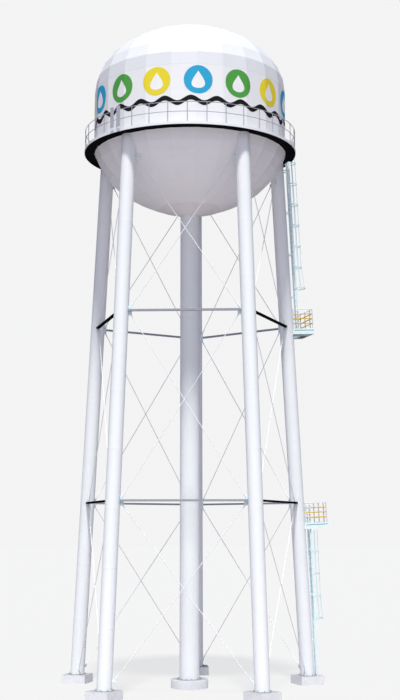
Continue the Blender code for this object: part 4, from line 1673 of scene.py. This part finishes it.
@dataclass
class Frieze:
    """A plain painted frieze round the tank's wall: discs with a drop in each, over one long wave."""

    facets: int = 24
    wall_radius: float = 5.30
    lift: float = 0.003
    coat: float = 0.004
    discs: int = 15
    first_turn: float = 8.0
    disc_radius: float = 0.76
    disc_z: float = 31.32
    disc_rings: int = 14
    drop_share: float = 0.62
    drop_width: float = 0.62
    drop_power: float = 0.8
    drop_rings: int = 9
    drop_sunk: float = 0.001
    outline_points: int = 72
    wave_z: float = 30.22
    wave_height: float = 0.14
    wave_width: float = 0.26
    waves: int = 24
    wave_points: int = 30

    def on_wall(self, along: np.ndarray, z: np.ndarray, lift: float) -> np.ndarray:
        """Work out points on the many-sided wall.

        A facet lies at the flat's distance over the cosine of the angle from its middle.

        Args:
            along: how far along the wall's circle each point is from the front.
            z: the points' heights.
            lift: how far they stand off the wall.

        Returns:
            The points.
        """
        facet = FULL_TURN / self.facets
        flat = self.wall_radius * math.cos(facet / 2)
        angle = along / self.wall_radius
        from_middle = (angle + facet / 2) % facet - facet / 2
        reach = flat / np.cos(from_middle) + lift
        return np.stack((reach * np.sin(angle), -reach * np.cos(angle), z + 0.0 * angle), axis=-1)

    def blob(self, outline: np.ndarray, turn: float, lift: float, rings: int) -> np.ndarray:
        """Work out a filled outline on the wall.

        Its rings go out from its middle on the near side of the wall and back to it on the coat's face, each
        one the outline drawn in by an even share.

        Args:
            outline: its points, sideways and up from its middle.
            turn: where its middle is.
            lift: how far its near side stands off the wall.
            rings: how many rings there are from its middle to its edge.

        Returns:
            The rings.
        """
        shares = np.linspace(0.0, 1.0, rings + 1)
        flat = outline[None] * shares[:, None, None]
        along = math.radians(turn) * self.wall_radius + flat[..., 0]
        low, high = (self.on_wall(along, self.disc_z + flat[..., 1], z) for z in (lift, lift + self.coat))
        return np.concatenate((low, high[::-1]))

    def drop_outline(self) -> np.ndarray:
        """Work out a drop: a circle whose width narrows to a point at the top.

        The width is the cosine of the angle times a power of one less its sine.

        Returns:
            The drop's points, sideways and up from its middle.
        """
        angles = np.arange(self.outline_points) * FULL_TURN / self.outline_points
        width = np.cos(angles) * (1.0 - np.sin(angles)) ** self.drop_power
        size = self.disc_radius * self.drop_share
        return size * np.column_stack((self.drop_width * width, np.sin(angles)))

    def wave(self) -> np.ndarray:
        """Work out the long wave: a flat section whose height follows a sine round the wall.

        Returns:
            The rings.
        """
        steps = self.waves * self.wave_points
        along = np.arange(steps) / steps * FULL_TURN * self.wall_radius
        middle = self.wave_z + self.wave_height * np.sin(along / self.wall_radius * self.waves)
        corners = [(-0.5, 0.0), (0.5, 0.0), (0.5, self.coat), (-0.5, self.coat)]
        rows = [
            self.on_wall(along, middle + share * self.wave_width, self.lift + out) for share, out in corners
        ]
        return np.stack(rows, axis=1)

    def build(self) -> None:
        """Make the wave, the discs and the drops."""
        make_piece("frieze_wave", Shape().loft(self.wave(), closed=True), FRIEZE_BLACK)
        finishes = (FRIEZE_CYAN, FRIEZE_GREEN, FRIEZE_YELLOW)
        turns = np.arange(self.discs) * (360.0 / self.discs) + self.first_turn
        disc = circle(self.disc_radius, self.outline_points)
        for start, finish in enumerate(finishes):
            discs = Shape()
            for turn in turns[start :: len(finishes)]:
                discs.loft(self.blob(disc, turn, self.lift, self.disc_rings), caps=False)
            make_piece(f"frieze_discs_{start + 1}", discs, finish)
        drops = Shape()
        lift = self.lift + self.coat - self.drop_sunk
        for turn in turns:
            drops.loft(self.blob(self.drop_outline(), turn, lift, self.drop_rings), caps=False)
        make_piece("frieze_drops", drops, FRIEZE_WHITE)


@dataclass(frozen=True)
class Lamp:
    """A sun on the camera's side.

    Attributes:
        elevation: its height in degrees.
        angle: how wide it is in degrees; a wider one makes softer shadows.
        strength: how strong it is.
        colour: its light's colour.
    """

    elevation: float
    angle: float
    strength: float
    colour: Colour


@dataclass
class Studio:
    """The camera, the pale floor and the light."""

    camera_place: Point = (4.2122, -70.2145, 8.1965)
    camera_aim: Point = (-0.051613, 0.989283, 0.136574)
    picture_height: float = 700.0
    focal_pixels: float = 1306.2
    sensor: float = 36.0
    farthest: float = 3000.0
    floor_radius: float = 600.0
    floor_sides: int = 64
    floor_bounce: Colour = (0.48, 0.44, 0.455)
    floor_edge: Colour = (0.13, 0.12, 0.125)
    floor_half_width: tuple = (20.0, 55.0)
    floor_back: tuple = (4.0, 26.0)
    floor_seen: Colour = (0.10, 0.10, 0.10)
    floor_glow: float = 0.735
    sun_turn: float = 2.0
    sun: Lamp = Lamp(68.5, 6.0, 4.5, (1.0, 0.99, 0.92))
    fill: Lamp = Lamp(12.0, 80.0, 0.5, (1.0, 0.99, 0.95))
    sky_colour: Colour = (0.40, 0.44, 0.60)
    sky_rise: tuple = (0.0, 0.9)
    horizon_colour: Colour = (0.26, 0.28, 0.38)
    back_colour: Colour = (0.03, 0.03, 0.04)
    back_turn: tuple = (-0.3, 0.5)
    backdrop_colour: Colour = (0.90, 0.90, 0.905)

    def add_camera(self) -> None:
        """Make the camera.

        Its lens is the sensor's width times the focal length over the picture's height, both in pixels.
        """
        data = bpy.data.cameras.new("camera")
        data.sensor_width = self.sensor
        data.lens = self.sensor * self.focal_pixels / self.picture_height
        data.clip_end = self.farthest
        camera = bpy.data.objects.new("camera", data)
        camera.location = self.camera_place
        camera.rotation_mode = "QUATERNION"
        camera.rotation_quaternion = Vector(self.camera_aim).to_track_quat("-Z", "Y")
        bpy.context.scene.collection.objects.link(camera)
        bpy.context.scene.camera = camera

    def floor_material(self) -> bpy.types.Material:
        """Build the floor's material: clear from below, and a smaller patch lights the tower than is seen.

        Returns:
            The material.
        """
        pale = bpy.data.materials.new("pale_floor")
        pale.use_nodes = True
        pale.node_tree.nodes.clear()
        graph = Graph(pale.node_tree)
        place = graph.node("ShaderNodeTexCoord").outputs["Object"]
        x, y, _ = graph.node("ShaderNodeSeparateXYZ", {0: place}).outputs
        beside = graph.between(graph.math("ABSOLUTE", x), *self.floor_half_width)
        far = graph.math("MAXIMUM", beside, graph.between(y, *self.floor_back))
        lit = graph.mix(far, opaque(self.floor_bounce), opaque(self.floor_edge))
        bounce = graph.node("ShaderNodeBsdfDiffuse", {"Color": lit}).outputs[0]
        tone = graph.node("ShaderNodeBsdfDiffuse", {"Color": opaque(self.floor_seen)}).outputs[0]
        white = opaque((1.0, 1.0, 1.0))
        glow = graph.node("ShaderNodeEmission", {"Color": white, "Strength": self.floor_glow}).outputs[0]
        seen = graph.node("ShaderNodeAddShader", {0: tone, 1: glow}).outputs[0]
        camera_ray = graph.node("ShaderNodeLightPath").outputs["Is Camera Ray"]
        above = graph.node("ShaderNodeMixShader", {0: camera_ray, 1: bounce, 2: seen}).outputs[0]
        below = graph.node("ShaderNodeNewGeometry").outputs["Backfacing"]
        clear = graph.node("ShaderNodeBsdfTransparent").outputs[0]
        surface = graph.node("ShaderNodeMixShader", {0: below, 1: above, 2: clear}).outputs[0]
        graph.node("ShaderNodeOutputMaterial", {"Surface": surface})
        return pale

    def add_floor(self) -> None:
        """Make the floor, one wide disc at the ground."""
        turns = np.arange(self.floor_sides) * 360.0 / self.floor_sides
        mesh = bpy.data.meshes.new("floor")
        mesh.from_pydata(arc_points(self.floor_radius, turns, 0.0), [], [list(range(self.floor_sides))])
        mesh.materials.append(self.floor_material())
        floor = bpy.data.objects.new("floor", mesh)
        bpy.context.scene.collection.objects.link(floor)

    def add_sun(self, name: str, kind: Lamp) -> None:
        """Add a sun.

        Args:
            name: its name.
            kind: its height, softness, strength and colour.
        """
        lamp = bpy.data.lights.new(name, "SUN")
        lamp.energy = kind.strength
        lamp.color = kind.colour
        lamp.angle = math.radians(kind.angle)
        sun = bpy.data.objects.new(name, lamp)
        height = math.radians(kind.elevation)
        towards = outward(self.sun_turn) * math.cos(height) + UP * math.sin(height)
        sun.rotation_mode = "QUATERNION"
        sun.rotation_quaternion = Vector(towards).to_track_quat("Z", "Y")
        bpy.context.scene.collection.objects.link(sun)

    def add_sky(self) -> None:
        """Make the sky: bright above and in front, dark behind, and plain where the picture shows it."""
        world = bpy.data.worlds.new("sky")
        world.use_nodes = True
        world.node_tree.nodes.clear()
        graph = Graph(world.node_tree)
        direction = graph.node("ShaderNodeTexCoord").outputs["Generated"]
        _, y, z = graph.node("ShaderNodeSeparateXYZ", {0: direction}).outputs
        behind = graph.between(y, *self.back_turn)
        level = graph.mix(behind, opaque(self.horizon_colour), opaque(self.back_colour))
        colour = graph.mix(graph.between(z, *self.sky_rise), level, opaque(self.sky_colour))
        ambient = graph.node("ShaderNodeBackground", {"Color": colour, "Strength": 1.0}).outputs[0]
        plain = {"Color": opaque(self.backdrop_colour), "Strength": 1.0}
        backdrop = graph.node("ShaderNodeBackground", plain).outputs[0]
        seen = graph.node("ShaderNodeLightPath").outputs["Is Camera Ray"]
        surface = graph.node("ShaderNodeMixShader", {0: seen, 1: ambient, 2: backdrop}).outputs[0]
        graph.node("ShaderNodeOutputWorld", {"Surface": surface})
        bpy.context.scene.world = world

    def build(self) -> None:
        """Make the camera, the floor, the suns and the sky."""
        bpy.context.scene.view_settings.view_transform = "Standard"
        self.add_camera()
        self.add_floor()
        self.add_sun("sun", self.sun)
        self.add_sun("fill", self.fill)
        self.add_sky()


def clear_scene() -> None:
    """Remove the objects that Blender starts with."""
    for old in list(bpy.data.objects):
        bpy.data.objects.remove(old, do_unlink=True)


def main() -> None:
    """Build the tower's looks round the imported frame."""
    clear_scene()
    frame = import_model()
    nodes = frame["nodes"]
    Studio().build()
    Columns().build(nodes)
    Bracing().build(nodes)
    TankShell().build(nodes)
    Balcony().build(nodes)
    Ladder().build()
    RestPlatform(Level.LOWER, outer=1.61, hatch=((0.48, 1.22), (-0.25, 0.34))).build(nodes)
    RestPlatform(Level.UPPER, outer=1.51, hatch=((0.0, 1.05), (0.58, 1.32))).build(nodes)
    Frieze().build()


if __name__ == "__main__":
    logging.basicConfig(level=logging.INFO, format="%(name)s %(message)s")
    main()
